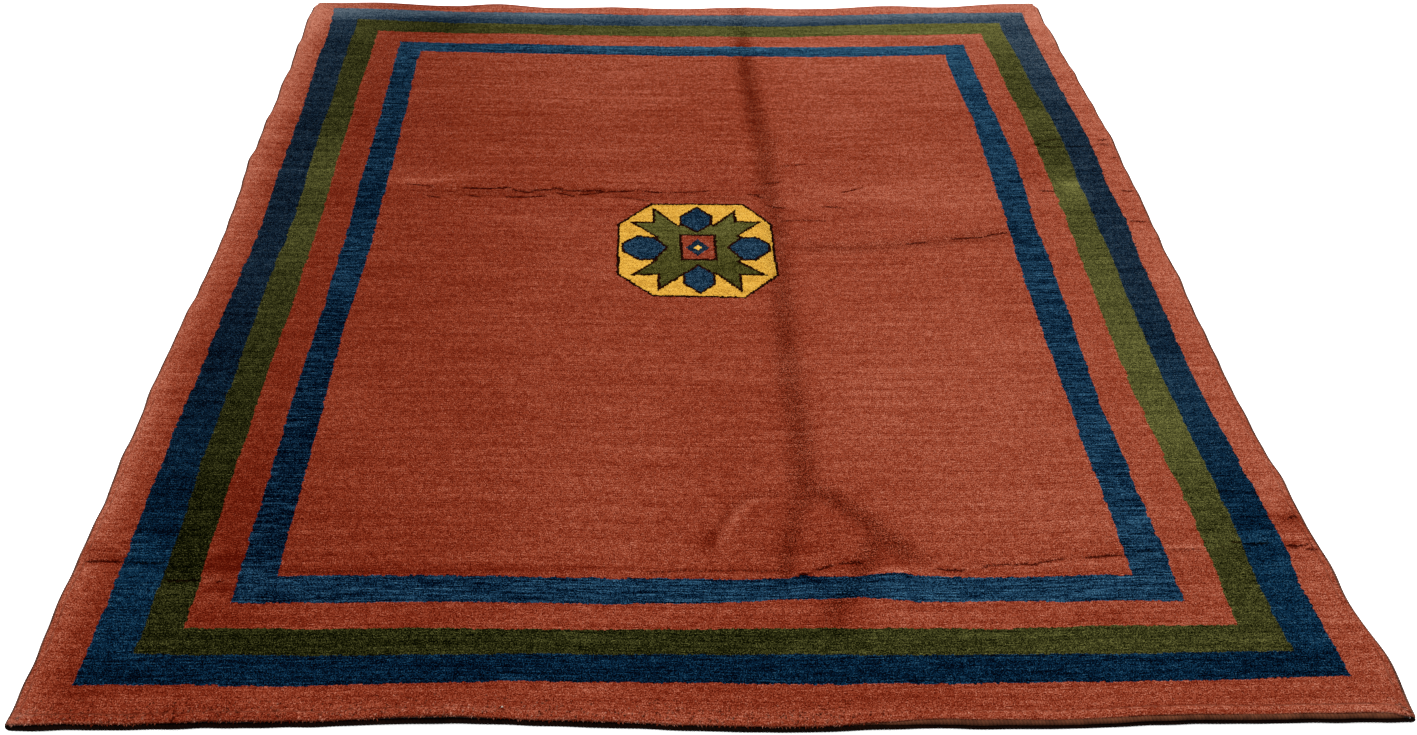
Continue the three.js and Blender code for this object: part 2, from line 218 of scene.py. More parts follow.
def make_floor():
    mesh = bpy.data.meshes.new("floor")
    half = FLOOR_SIZE / 2
    corners = (-half, -half), (half, -half), (half, half), (-half, half)
    mesh.from_pydata([(x, y, FLOOR_HEIGHT) for x, y in corners], [], [(0, 1, 2, 3)])
    nodes = Nodes("pale floor")
    grain = nodes.noise(nodes.add("TexCoord").outputs["Object"], 3.0, 3.0)
    material = nodes.surface(
        Base_Color=nodes.mix(grain, *FLOOR_TINTS),
        Roughness=0.7,
        Specular_IOR_Level=0.2,
        Emission_Color=(1.0, 1.0, 1.0, 1.0),
        Emission_Strength=FLOOR_GLOW,
    )
    mesh.materials.append(material)
    add_object("floor", mesh)


# Outline and folds
# How far each side lies inside the full rectangle, at places along that side.
LEFT_SIDE = [
    (-1200, 0), (-1050, 2), (-890, 2), (-700, 6), (-390, 5), (-130, 15), (15, 19), (170, 15), (300, 8),
    (835, 8), (1067, 4), (1200, 0),
]
RIGHT_SIDE = [
    (-1200, 9), (-1130, 2), (-978, 15), (-800, 18), (-500, 25), (-265, 19), (13, 12), (252, 5),
    (530, 0), (837, 6), (1073, 11), (1200, 9),
]
NEAR_END = [
    (-1000, 8), (-666, 11), (-358, 16), (-104, 7), (93, 0), (263, 5), (461, 4), (690, 11), (1000, 12),
]
FAR_END = [
    (-1000, 0), (-757, 19), (-537, 25), (-316, 37), (0, 42), (455, 41), (677, 34), (901, 20), (1000, 4),
]
SCALLOPS = [(190, 1.6, 0.4), (83, 1.1, 2.1)]  # wavelength, depth, shift

# sink, half width, path
VALLEYS = [
    (3.6, 27, [
        (158, 1180), (163, 944), (169, 700), (174, 544), (184, 430), (176, 230), (185, 60), (178, -170),
        (171, -340), (170, -475), (174, -560), (169, -735), (150, -772), (146, -792),
    ]),
    (3.4, 15, [
        (172, -680), (164, -745), (151, -771), (141, -816), (130, -861), (120, -912), (116, -960),
    ]),
    (3.8, 21, [
        (172, -660), (182, -722), (212, -742), (238, -770), (264, -798), (282, -826), (296, -846),
        (318, -868), (350, -892),
    ]),
    (3.4, 20, [
        (262, -780), (278, -830), (260, -868), (245, -898), (219, -943), (186, -985), (196, -1035),
    ]),
    (1.6, 16, [(160, -731), (88, -735), (50, -763), (23, -805), (7, -840), (5, -886)]),
    (1.6, 24, [(-622, 225), (-455, 216), (-181, 211), (27, 199), (174, 182)]),
    (2.6, 22, [(186, 0), (351, -5), (522, 21), (620, 40), (700, 58)]),
    (1.8, 16, [(-976, -873), (-920, -869), (-854, -878)]),
    (1.8, 16, [(-840, -905), (-740, -925)]),
    (1.0, 16, [(363, -907), (598, -880), (769, -866), (976, -856)]),
    (2.4, 30, [(-585, 1160), (-620, 1005)]),
    (2.0, 30, [(330, 1150), (352, 1010)]),
    (2.2, 18, [(935, -805), (985, -775)]),
]
VALLEY_TAPER = 70

# x, y, reach across, reach along, lift
RISES = [
    (200, -822, 78, 100, 8), (84, -828, 72, 92, 5), (338, -838, 66, 90, 4), (-330, 268, 330, 52, 3),
    (560, -34, 360, 58, 4), (640, -905, 330, 46, 3.5), (-860, -925, 150, 46, 3),
    (262, 620, 62, 420, 2.6), (84, 620, 62, 420, 2), (246, -330, 60, 360, 2.2),
    (-940, -1205, 130, 80, 3), (-690, -1205, 170, 90, 5), (-400, -1205, 170, 100, 8),
    (-170, -1205, 110, 80, 3), (330, -1205, 170, 80, 3), (640, -1205, 160, 90, 5),
    (910, -1205, 150, 90, 6), (-800, 1195, 170, 130, 6), (-480, 1185, 130, 130, 7),
    (-170, 1170, 150, 110, 4), (170, 1170, 130, 110, 5), (560, 1180, 170, 130, 7),
    (870, 1195, 140, 120, 5), (-1000, 1080, 90, 66, 4), (-1000, 930, 90, 62, 5),
    (-1000, 750, 100, 76, 5), (-1000, 545, 90, 80, 4), (-1000, 365, 110, 74, 6),
    (-1000, 30, 100, 96, 5), (-1000, -205, 90, 78, 4), (-1000, -480, 80, 72, 4),
    (-1000, -665, 100, 84, 6), (-1000, -940, 90, 70, 4), (1000, 1010, 80, 90, 4),
    (1000, 780, 80, 84, 3), (1000, 470, 90, 100, 4), (1000, 180, 90, 90, 4), (1000, -90, 90, 84, 5),
    (1000, -400, 80, 90, 3), (1000, -700, 90, 70, 4), (1000, -900, 80, 60, 4), (1000, -1070, 90, 66, 4),
]

# Rows where the pile has parted along a fold: start x and y, end x and y, depth.
PARTED_ROWS = [
    (-625, 250, -554, 241, 2), (-496, 233, -386, 233, 4), (-390, 228, -337, 216, 3),
    (-346, 224, -276, 232, 3), (-298, 232, -245, 220, 4), (-254, 224, -179, 220, 4),
    (-201, 216, -100, 224, 4), (-104, 224, -47, 211, 3), (-52, 211, 54, 219, 2),
    (-574, 204, -536, 196, 3), (-484, 204, -449, 200, 3), (-399, 195, -305, 199, 3),
    (-291, 216, -244, 195, 3), (-240, 203, -179, 220, 3), (-152, 195, -78, 179, 2),
    (132, 207, 161, 207, 4), (143, 199, 167, 194, 4), (169, 166, 213, 150, 3), (166, 253, 216, 261, 3),
    (335, 211, 390, 231, 3), (212, 326, 276, 330, 2), (194, 102, 296, 98, 2), (285, 154, 341, 150, 2),
    (448, 14, 501, 17, 3), (544, 29, 622, 40, 3), (618, 40, 676, 55, 3), (796, 424, 835, 415, 3),
    (830, 411, 884, 415, 5), (879, 415, 945, 410, 4), (959, 438, 986, 443, 4), (815, 438, 879, 443, 3),
    (950, 420, 991, 415, 2), (772, 218, 814, 218, 3), (953, 218, 985, 214, 4), (971, 361, 990, 361, 3),
    (939, 97, 984, 89, 3), (357, -904, 405, -907, 4), (427, -900, 479, -892, 2),
    (466, -892, 527, -895, 3), (517, -890, 573, -882, 2), (593, -878, 667, -876, 3),
    (666, -869, 725, -867, 1), (730, -863, 792, -863, 1), (838, -848, 862, -846, 4),
    (806, -859, 862, -859, 1), (859, -848, 906, -849, 4), (925, -853, 961, -853, 5),
    (956, -853, 971, -851, 4), (929, -860, 945, -860, 3), (954, -862, 976, -864, 3),
    (951, -795, 971, -790, 5), (202, -891, 245, -887, 4), (161, -906, 201, -895, 3),
    (138, -916, 163, -912, 4), (-107, -907, 119, -905, 1), (-980, -881, -914, -882, 4),
    (-915, -884, -852, -882, 3), (-844, -924, -779, -922, 4), (-782, -922, -747, -927, 3),
    (-676, -904, -520, -905, 1),
]
PARTED_TAPER, PARTED_REACH = 14, 26
PARTED_WIDTH, PARTED_DIP = 3.0, 0.4  # of the groove in the pile
PARTED_WANDER = [(1.1, 13.0, 1), (0.9, 29.0, 2)]  # how much, in what length, shift
PARTED_EARLY = -4  # where a row starts to open, before its end
OPEN_WIDTH, OPEN_DEPTH = 7, 4  # how wide a row looks open, and the depth that opens it fully
LATTICE_START, LATTICE_REACH = 1500, 3200


def smoothstep(value, low, high):
    t = np.clip((value - low) / (high - low), 0, 1)
    return t * t * (3 - 2 * t)


def soft_noise(x, y, across, along, seed):
    """Smooth random values from -1 to 1, on a lattice of across by along millimetres."""
    u, v = (x + LATTICE_START) / across, (y + LATTICE_START) / along
    size = int(LATTICE_REACH / across) + 3, int(LATTICE_REACH / along) + 3
    lattice = np.random.default_rng(seed).uniform(-1, 1, size)
    i, j = np.floor(u).astype(int), np.floor(v).astype(int)
    s, t = smoothstep(u - i, 0, 1), smoothstep(v - j, 0, 1)
    low = lattice[i, j] * (1 - s) + lattice[i + 1, j] * s
    high = lattice[i, j + 1] * (1 - s) + lattice[i + 1, j + 1] * s
    return low * (1 - t) + high * t


def uneven(rows, x, y):
    """Soft noise added up. Each row says how much, across, along and seed."""
    return sum(much * soft_noise(x, y, *lattice) for much, *lattice in rows)


def curve_at(rows, place):
    """A smooth curve through the rows of a side table, read at places along that side."""
    at, inset = np.array(rows, float).T
    last = len(at) - 1
    index = np.arange(len(at))
    before, after = np.maximum(index - 1, 0), np.minimum(index + 1, last)
    slope = (inset[after] - inset[before]) / (at[after] - at[before])
    end = np.clip(np.searchsorted(at, place, side="right"), 1, last)
    start = end - 1
    span = at[end] - at[start]
    t = np.clip((place - at[start]) / span, 0, 1)
    eased = inset[start] + (inset[end] - inset[start]) * t * t * (3 - 2 * t)
    return eased + span * (t * (1 - t) ** 2 * slope[start] + t * t * (t - 1) * slope[end])


def scallop_at(place):
    return sum(
        depth * (0.5 + 0.5 * np.sin(2 * np.pi * place / wavelength + shift))
        for wavelength, depth, shift in SCALLOPS
    )


def left_x(y):
    return -HALF_WIDTH + curve_at(LEFT_SIDE, y) + scallop_at(y)


def right_x(y):
    return HALF_WIDTH - curve_at(RIGHT_SIDE, y) - scallop_at(-y)


def near_y(x):
    return -HALF_LENGTH + curve_at(NEAR_END, x)


def far_y(x):
    return HALF_LENGTH - curve_at(FAR_END, x)


def measure_to_path(x, y, path):
    """The distance from each place to a path, and from its foot to the path's nearer end."""
    points = np.array(path, float)
    walked = walk(points)
    nearest, from_end = np.full(x.shape, np.inf), np.zeros(x.shape)
    for start, end, before in zip(points[:-1], points[1:], walked):
        length = np.linalg.norm(end - start)
        along = (end - start) / length
        off_x, off_y = x - start[0], y - start[1]
        foot = np.clip(off_x * along[0] + off_y * along[1], 0, length)
        distance = np.hypot(off_x - foot * along[0], off_y - foot * along[1])
        closer = distance < nearest
        nearest = np.where(closer, distance, nearest)
        ends = np.minimum(before + foot, walked[-1] - before - foot)
        from_end = np.where(closer, ends, from_end)
    return nearest, from_end


def sink_at(x, y):
    """How far the pile is pressed down, by the deepest valley there."""
    deepest = np.zeros(x.shape)
    for sink, half_width, path in VALLEYS:
        distance, from_end = measure_to_path(x, y, path)
        fade = smoothstep(from_end, -VALLEY_TAPER / 2, VALLEY_TAPER)
        deepest = np.maximum(deepest, sink * fade * np.exp(-((distance / half_width) ** 2)))
    return deepest


def lift_at(x, y):
    """How far the cloth stands up off the floor."""
    total = np.zeros(x.shape)
    for centre_x, centre_y, across, along, lift in RISES:
        reach = np.minimum(np.hypot((x - centre_x) / across, (y - centre_y) / along), 1)
        total += lift * (0.5 + 0.5 * np.cos(np.pi * reach))
    return total


def parted_at(x, y):
    """The nearest parted row: the distance to its line, how open it is, and how deep."""
    nearest = np.full(x.shape, float(PARTED_REACH))
    opened, deepest = np.zeros(x.shape), np.zeros(x.shape)
    for start_x, start_y, end_x, end_y, depth in PARTED_ROWS:
        along = np.clip((x - start_x) / (end_x - start_x), 0, 1)
        ends = np.minimum(x - start_x, end_x - x)
        wander = sum(
            much * np.sin(x / length + shift * start_y) for much, length, shift in PARTED_WANDER
        )
        distance = y - start_y - (end_y - start_y) * along - wander
        reach = smoothstep(ends, PARTED_EARLY, PARTED_TAPER)
        closer = (np.abs(distance) < np.abs(nearest)) & (ends > -PARTED_TAPER)
        nearest = np.where(closer, distance, nearest)
        openness = reach * depth / OPEN_DEPTH * np.exp(-((distance / OPEN_WIDTH) ** 2))
        opened = np.where(closer, openness, opened)
        dip = PARTED_DIP * depth * reach * np.exp(-((distance / PARTED_WIDTH) ** 2))
        deepest = np.maximum(deepest, dip)
    return nearest, opened, deepest


# Lines of the sheet
RIM_SPACING, RIM_GROWTH = 2.6, 0.34
ACROSS_SPACING, ALONG_SPACING = 9.4, 9.8
FINE_SPACING, FINE_GROWTH = 3.4, 0.5
FINE_BANDS = [(-925, -838), (158, 250), (42, 72)]
# Near left, near right, far left and far right, for the outline and for the rim's inner loops.
CORNER_RADII, INNER_RADII = (10, 8, 34, 28), (30, 37, 36, 40)
RIGHT_STANDS, FAR_STANDS = 2.6, 8  # how far the pile stands out past the solid there
RIGHT_SPAN, FAR_SPAN = (900, 985), (1100, 1150)  # and between which places it starts to
WAVER_X, WAVER_Y = [(0.9, 39, 43, 15)], [(0.9, 39, 43, 16)]
MIDDLE = (0.445, -1.328)  # of the solid's outline, which is the origin of the model
# Where the near end's woven hem shows in front of the pile: from, to full, from full, to end.
BARE_SPAN = (130, 330, 950, 984)
BARE_PULL = 4  # how far the pile stands back there
# The rim's section from the top down: inward from the outermost reach, up from below.
SIDE_SECTION = [
    (15, 14), (12, 13.8), (9.4, 13.1), (7.4, 12), (6, 10.6), (5.2, 9.2), (5.4, 8), (7.4, 7.2),
    (7.6, 3.5), (7.4, 0),
]
END_SECTION = [
    (15, 14), (11, 13.9), (7.6, 13.5), (5, 12.8), (3.2, 11.8), (2.4, 10.2), (3, 8.4), (5.2, 6.4),
    (5.6, 3), (5, 0),
]
HANGING = 0.3  # how much of the lift the hems keep where the ends curl up
INNER_SPAN = (5, 11)  # where the rim leaves the outline for the inner loop
BARE_UP, HANGING_UP = (7.3, 9), (2, 12)  # heights over which the rim stands back and lifts


def walk(points):
    """The length walked along a line of points, at each of them."""
    return np.concatenate([[0], np.cumsum(np.linalg.norm(np.diff(points, axis=0), axis=1))])


def unit(vectors):
    return vectors / np.maximum(np.linalg.norm(vectors, axis=1), 1e-6)[:, None]


def closed(rows):
    """The rows with the first again at the end."""
    return np.concatenate([rows, rows[:1]])


def rim_of(grid):
    """The rim of a grid of values, as a loop counter-clockwise from the near left corner."""
    return np.concatenate([grid[0], grid[1:-1, -1], grid[-1][::-1], grid[1:-1, 0][::-1]])


def graded_lines(low, high, coarse, bands=()):
    """Line places across a span: close at its ends and in the bands, wider elsewhere."""
    steps = np.arange(low, high)
    middle = steps + 0.5
    spacing = RIM_SPACING + RIM_GROWTH * np.minimum(middle - low, high - middle)
    for start, end in bands:
        outside = np.maximum(np.maximum(start - middle, middle - end), 0)
        spacing = np.minimum(spacing, FINE_SPACING + FINE_GROWTH * outside)
    passed = np.concatenate([[0], np.cumsum(1 / np.minimum(spacing, coarse))])
    count = round(passed[-1])
    return np.interp(np.linspace(0, passed[-1], count + 1), passed, np.append(steps, high))


COLUMNS = graded_lines(-HALF_WIDTH, HALF_WIDTH, ACROSS_SPACING)
ROWS = graded_lines(-HALF_LENGTH, HALF_LENGTH, ALONG_SPACING, FINE_BANDS)
CLOTH = np.stack(np.meshgrid(COLUMNS, ROWS), -1)
LAST_COLUMN, LAST_ROW = len(COLUMNS) - 1, len(ROWS) - 1
NEAR_RIGHT, FAR_RIGHT = LAST_COLUMN, LAST_COLUMN + LAST_ROW
FAR_LEFT = 2 * LAST_COLUMN + LAST_ROW


def rounded(lines, start_radius, end_radius):
    """One side's places, with both corners rounded, and how far the arcs pull them in."""

    def arc(distance, radius):
        angle = np.pi / 4 * (1 + np.minimum(distance / radius, 1))
        inside = distance < radius
        along = np.where(inside, radius * (1 - np.cos(angle)), distance)
        return along, np.where(inside, radius * (1 - np.sin(angle)), 0)

    low, high = lines[0], lines[-1]
    start, end = arc(lines - low, start_radius), arc(high - lines, end_radius)
    place = np.where(lines < (low + high) / 2, low + start[0], high - end[0])
    return place, start[1] + end[1]


def outline_loop(near_left, near_right, far_left, far_right):
    """The outline as one closed loop, counter-clockwise from the near left corner."""

    def edge_points(lines, radii, edge_at, sign, low_at, high_at):
        place, inward = rounded(lines, *radii)
        across = edge_at(place) + sign * inward
        low, high = low_at(across), high_at(across)
        along = low + (place - lines[0]) / (lines[-1] - lines[0]) * (high - low)
        return np.stack([along, across], 1)

    ends, sides = (near_y, far_y), (left_x, right_x)
    near = edge_points(COLUMNS, (near_left, near_right), near_y, 1, *sides)
    far = edge_points(COLUMNS, (far_left, far_right), far_y, -1, *sides)
    left = edge_points(ROWS, (near_left, far_left), left_x, 1, *ends)[:, ::-1]
    right = edge_points(ROWS, (near_right, far_right), right_x, -1, *ends)[:, ::-1]
    loop = np.concatenate([near, right[1:-1], far[::-1], left[1:-1][::-1]])
    loop[:, 0] += RIGHT_STANDS * smoothstep(loop[:, 0], *RIGHT_SPAN)
    loop[:, 1] += FAR_STANDS * smoothstep(loop[:, 1], *FAR_SPAN)
    return loop + np.stack([uneven(waver, *loop.T) for waver in (WAVER_X, WAVER_Y)], 1)


def bare_at(x):
    return smoothstep(x, *BARE_SPAN[:2]) * (1 - smoothstep(x, *BARE_SPAN[2:]))


OUTLINE, INNER = outline_loop(*CORNER_RADII), outline_loop(*INNER_RADII)
LOOP_LENGTH = len(OUTLINE)
ALONG_LOOP = unit(np.roll(INNER, -1, axis=0) - np.roll(INNER, 1, axis=0))
INWARD = np.stack([-ALONG_LOOP[:, 1], ALONG_LOOP[:, 0]], 1)
STATION = np.arange(LOOP_LENGTH)
ON_END = (STATION < NEAR_RIGHT) | ((STATION > FAR_RIGHT) & (STATION < FAR_LEFT))
LOOP_LIFT = lift_at(*OUTLINE.T)
LOOP_BARE = np.where(STATION < NEAR_RIGHT, bare_at(OUTLINE[:, 0]), 0)


def rim_loop(step):
    """The rim's loop at one step of its section. Valleys that run out over it lower its pile."""
    inward, up = np.where(ON_END[:, None], END_SECTION[step], SIDE_SECTION[step]).T
    pile_share = np.maximum(0, (up - RECESS) / (THICKNESS - RECESS))
    inward = inward + BARE_PULL * LOOP_BARE * smoothstep(up, *BARE_UP)
    inner = smoothstep(inward, *INNER_SPAN)[:, None]
    flat = OUTLINE * (1 - inner) + INNER * inner + INWARD * inward[:, None]
    kept = np.where(ON_END, HANGING + (1 - HANGING) * smoothstep(up, *HANGING_UP), 1)
    x, y = flat.T
    return np.column_stack([flat, lift_at(x, y) * kept + up - sink_at(x, y) * pile_share])


def fill_loop(loop):
    """Rows of places stretched over the inside of a loop, on its own places at the rim."""
    near, far = loop[: NEAR_RIGHT + 1], loop[FAR_RIGHT : FAR_LEFT + 1][::-1]
    right, left = loop[NEAR_RIGHT : FAR_RIGHT + 1], closed(loop)[FAR_LEFT:][::-1]
    u = ((COLUMNS + HALF_WIDTH) / (2 * HALF_WIDTH))[None, :]
    v = ((ROWS + HALF_LENGTH) / (2 * HALF_LENGTH))[:, None]
    x = left[:, None, 0] * (1 - u) + right[:, None, 0] * u
    y = near[None, :, 1] * (1 - v) + far[None, :, 1] * v
    grid = np.stack([x, y, 0 * x], -1)
    grid[0], grid[-1], grid[:, 0], grid[:, -1] = near, far, left, right
    return grid


# Pattern and tone
# Where the stripes' edges lie, from the outside in, at places along each side.
LEFT_STRIPES = [
    (-1180, -924, -850, -789, -732, -672), (-1090, -923, -852, -789, -732, -672),
    (-950, -918, -849, -789, -732, -672), (-780, -919, -847, -791, -731, -671),
    (-650, -919, -853, -791, -729, -671), (-500, -918, -849, -790, -730, -671),
    (-350, -914, -848, -789, -726, -672), (-200, -912, -848, -785, -723, -670),
    (-50, -907, -847, -785, -722, -663), (100, -904, -841, -785, -719, -664),
    (250, -911, -844, -787, -724, -663), (400, -912, -850, -790, -723, -663),
    (550, -913, -852, -790, -724, -664), (700, -918, -852, -794, -724, -667),
    (850, -924, -857, -792, -727, -669), (1000, -923, -856, -794, -727, -669),
    (1120, -931, -858, -796, -728, -670), (1180, -933, -860, -797, -729, -671),
]
RIGHT_STRIPES = [
    (-1180, 928, 860, 796, 728, 666), (-1090, 926, 860, 795, 728, 666), (-950, 918, 852, 793, 726, 660),
    (-860, 923, 858, 798, 729, 664), (-780, 922, 859, 798, 724, 664), (-650, 918, 858, 794, 724, 662),
    (-500, 912, 855, 790, 721, 664), (-350, 912, 856, 791, 725, 665), (-200, 920, 859, 796, 732, 667),
    (-50, 922, 866, 801, 735, 669), (100, 934, 868, 807, 735, 678), (250, 933, 872, 809, 747, 681),
    (400, 943, 879, 811, 750, 685), (550, 942, 878, 812, 748, 690), (700, 936, 868, 804, 743, 682),
    (850, 934, 868, 805, 741, 682), (1000, 933, 859, 799, 741, 682), (1180, 936, 862, 803, 742, 683),
]
NEAR_STRIPES = [
    (-980, -1124, -1066, -1016, -967, -911), (-820, -1121, -1066, -1016, -967, -911),
    (-600, -1126, -1069, -1019, -968, -912), (-450, -1119, -1068, -1017, -968, -911),
    (-300, -1118, -1067, -1022, -970, -914), (-150, -1120, -1070, -1022, -973, -920),
    (0, -1123, -1071, -1022, -971, -922), (120, -1125, -1070, -1021, -964, -921),
    (152, -1126, -1070, -1021, -966, -913), (172, -1126, -1070, -1021, -966, -918),
    (228, -1125, -1072, -1022, -960, -918), (264, -1125, -1073, -1022, -963, -914),
    (306, -1125, -1073, -1022, -970, -911), (332, -1125, -1073, -1022, -971, -918),
    (450, -1125, -1073, -1024, -970, -921), (600, -1122, -1072, -1018, -970, -917),
    (760, -1120, -1069, -1018, -971, -917), (980, -1113, -1066, -1017, -971, -917),
]
FAR_STRIPES = [
    (-980, 1166, 1098, 1032, 968, 912), (-820, 1159, 1092, 1025, 961, 907),
    (-600, 1140, 1068, 1007, 950, 899), (-450, 1135, 1065, 1004, 947, 891),
    (-300, 1130, 1059, 996, 938, 886), (-150, 1121, 1050, 992, 932, 880),
    (0, 1117, 1053, 987, 929, 874), (150, 1119, 1049, 986, 927, 872), (300, 1113, 1048, 984, 925, 869),
    (450, 1119, 1057, 994, 929, 871), (600, 1129, 1064, 996, 932, 877),
    (760, 1132, 1068, 1004, 942, 886), (980, 1138, 1070, 1006, 946, 890),
]
# The same edges as the weaver counts them, as distances from the rug's edge.
COUNTED = (75, 142, 207, 272, 332)
NAVY, GREEN, BAND, BLUE, FIELD = COUNTED
# How the knots wander off a straight line: how much, across, along, seed.
WANDER_X = [(1.2, 60, 34, 11), (1.3, 22, 14, 12)]
WANDER_Y = [(1.0, 90, 60, 13), (0.6, 26, 20, 14)]


def stripe_edges(table, place):
    at, *edges = np.array(table, float).T
    return [np.interp(place, at, edge) for edge in edges]


def counted_from(value, low_edges, high_edges, half):
    """The counted coordinate of places whose stripes have wandered."""
    ends = np.full(value.shape, -half), np.full(value.shape, half)
    source = [ends[0], *low_edges, *high_edges[::-1], ends[1]]
    target = [-half, *(d - half for d in COUNTED), *(half - d for d in COUNTED[::-1]), half]
    out = value.copy()
    for low, high, start, end in zip(source[:-1], source[1:], target[:-1], target[1:]):
        share = (value - low) / (high - low)
        out = np.where((value >= low) & (value <= high), start + share * (end - start), out)
    return out


def seen_on_flat(x, y, z):
    """Where the camera's ray through a place meets the flat rug's top, as the tables were read."""
    eye_x, eye_y, eye_z = CAMERA_AT / MM
    reach = (eye_z - THICKNESS) / (eye_z - z)
    return eye_x + (x - eye_x) * reach, eye_y + (y - eye_y) * reach


def weave_offset(x, y, z):
    """From a place to where the weaver counted it, for the straight version of the stripes."""
    seen_x, seen_y = seen_on_flat(x, y, z)
    left, right = stripe_edges(LEFT_STRIPES, seen_y), stripe_edges(RIGHT_STRIPES, seen_y)
    near, far = stripe_edges(NEAR_STRIPES, seen_x), stripe_edges(FAR_STRIPES, seen_x)
    across = counted_from(seen_x, left, right, HALF_WIDTH) + uneven(WANDER_X, x, y)
    along = counted_from(seen_y, near, far, HALF_LENGTH) + uneven(WANDER_Y, x, y)
    return across - x, along - y, 0 * x


# How light each wool is along the rug, from its deep shade at 0 to its pale one at 1. The
# weaver's balls of yarn changed along the way; the jump to pale at the far end's edge is painted sheen.
# y, left navy, blue and green, right navy, blue and green
DYE_LOTS_AND_SHEEN = [
    (-1200, 0.14, 0.25, 0.08, 0.20, 0.45, 0.40), (-1099, 0.15, 0.25, 0.08, 0.21, 0.45, 0.40),
    (-1088, 0.25, 0.25, 0.08, 0.34, 0.45, 0.42), (-1020, 0.30, 0.26, 0.10, 0.34, 0.46, 0.40),
    (-950, 0.40, 0.30, 0.10, 0.38, 0.46, 0.38), (-934, 0.40, 0.20, 0.06, 0.41, 0.40, 0.38),
    (-890, 0.38, 0.10, 0.00, 0.41, 0.38, 0.40), (-848, 0.40, 0.04, 0.00, 0.44, 0.40, 0.50),
    (-838, 0.15, 0.04, -0.04, 0.24, 0.46, 0.46), (-740, 0.11, 0.06, -0.02, 0.24, 0.33, 0.54),
    (-640, 0.19, 0.05, 0.10, 0.39, 0.42, 0.72), (-440, 0.14, 0.11, 0.16, 0.44, 0.32, 0.65),
    (-340, 0.10, 0.10, 0.19, 0.30, 0.33, 0.73), (-240, 0.13, 0.07, 0.26, 0.35, 0.30, 0.62),
    (-140, 0.27, 0.26, 0.28, 0.37, 0.42, 0.67), (60, 0.22, 0.25, 0.50, 0.33, 0.24, 0.53),
    (160, 0.16, 0.10, 0.34, 0.29, 0.32, 0.59), (260, 0.22, 0.13, 0.53, 0.29, 0.36, 0.60),
    (360, 0.24, 0.21, 0.52, 0.32, 0.43, 0.36), (460, 0.19, 0.15, 0.32, 0.29, 0.35, 0.37),
    (560, 0.18, 0.18, 0.23, 0.35, 0.47, 0.60), (648, 0.20, 0.20, 0.30, 0.38, 0.43, 0.42),
    (658, 0.27, 0.21, 0.22, 0.56, 0.40, 0.44), (760, 0.26, 0.24, 0.23, 0.52, 0.46, 0.52),
    (860, 0.30, 0.32, 0.22, 0.64, 0.56, 0.55), (1000, 0.32, 0.42, 0.32, 0.70, 0.68, 0.72),
    (1050, 0.42, 0.45, 0.50, 0.62, 0.70, 0.80), (1098, 0.58, 0.50, 0.50, 0.74, 0.70, 0.84),
    (1125, 0.72, 0.50, 0.50, 0.80, 0.70, 0.84), (1150, 1.10, 0.50, 0.50, 1.22, 0.70, 0.84),
    (1200, 1.20, 0.50, 0.50, 1.22, 0.70, 0.84),
]
# The red's lightness across the rug, and what its place along the rug adds: partly its dye,
# partly painted sheen, which lightens the margins and the far end.
RED_ACROSS = [
    (-1000, 0.95), (-965, 0.71), (-948, 0.52), (-930, 0.40), (-915, 0.30), (-860, 0.30), (-757, 0.12),
    (-650, 0.22), (-520, 0.27), (-400, 0.31), (-280, 0.38), (-160, 0.43), (60, 0.40), (260, 0.49),
    (400, 0.53), (768, 0.54), (900, 0.60), (1000, 0.76),
]
RED_ALONG = [
    (-1200, 0.04), (-1150, -0.02), (-900, -0.02), (-700, 0.02), (-300, 0.0), (560, -0.02), (700, 0.06),
    (860, 0.10), (960, 0.18), (1060, 0.34), (1200, 0.44),
]
RED_UNEVEN = [(0.045, 260, 90, 21), (0.05, 120, 26, 22)]
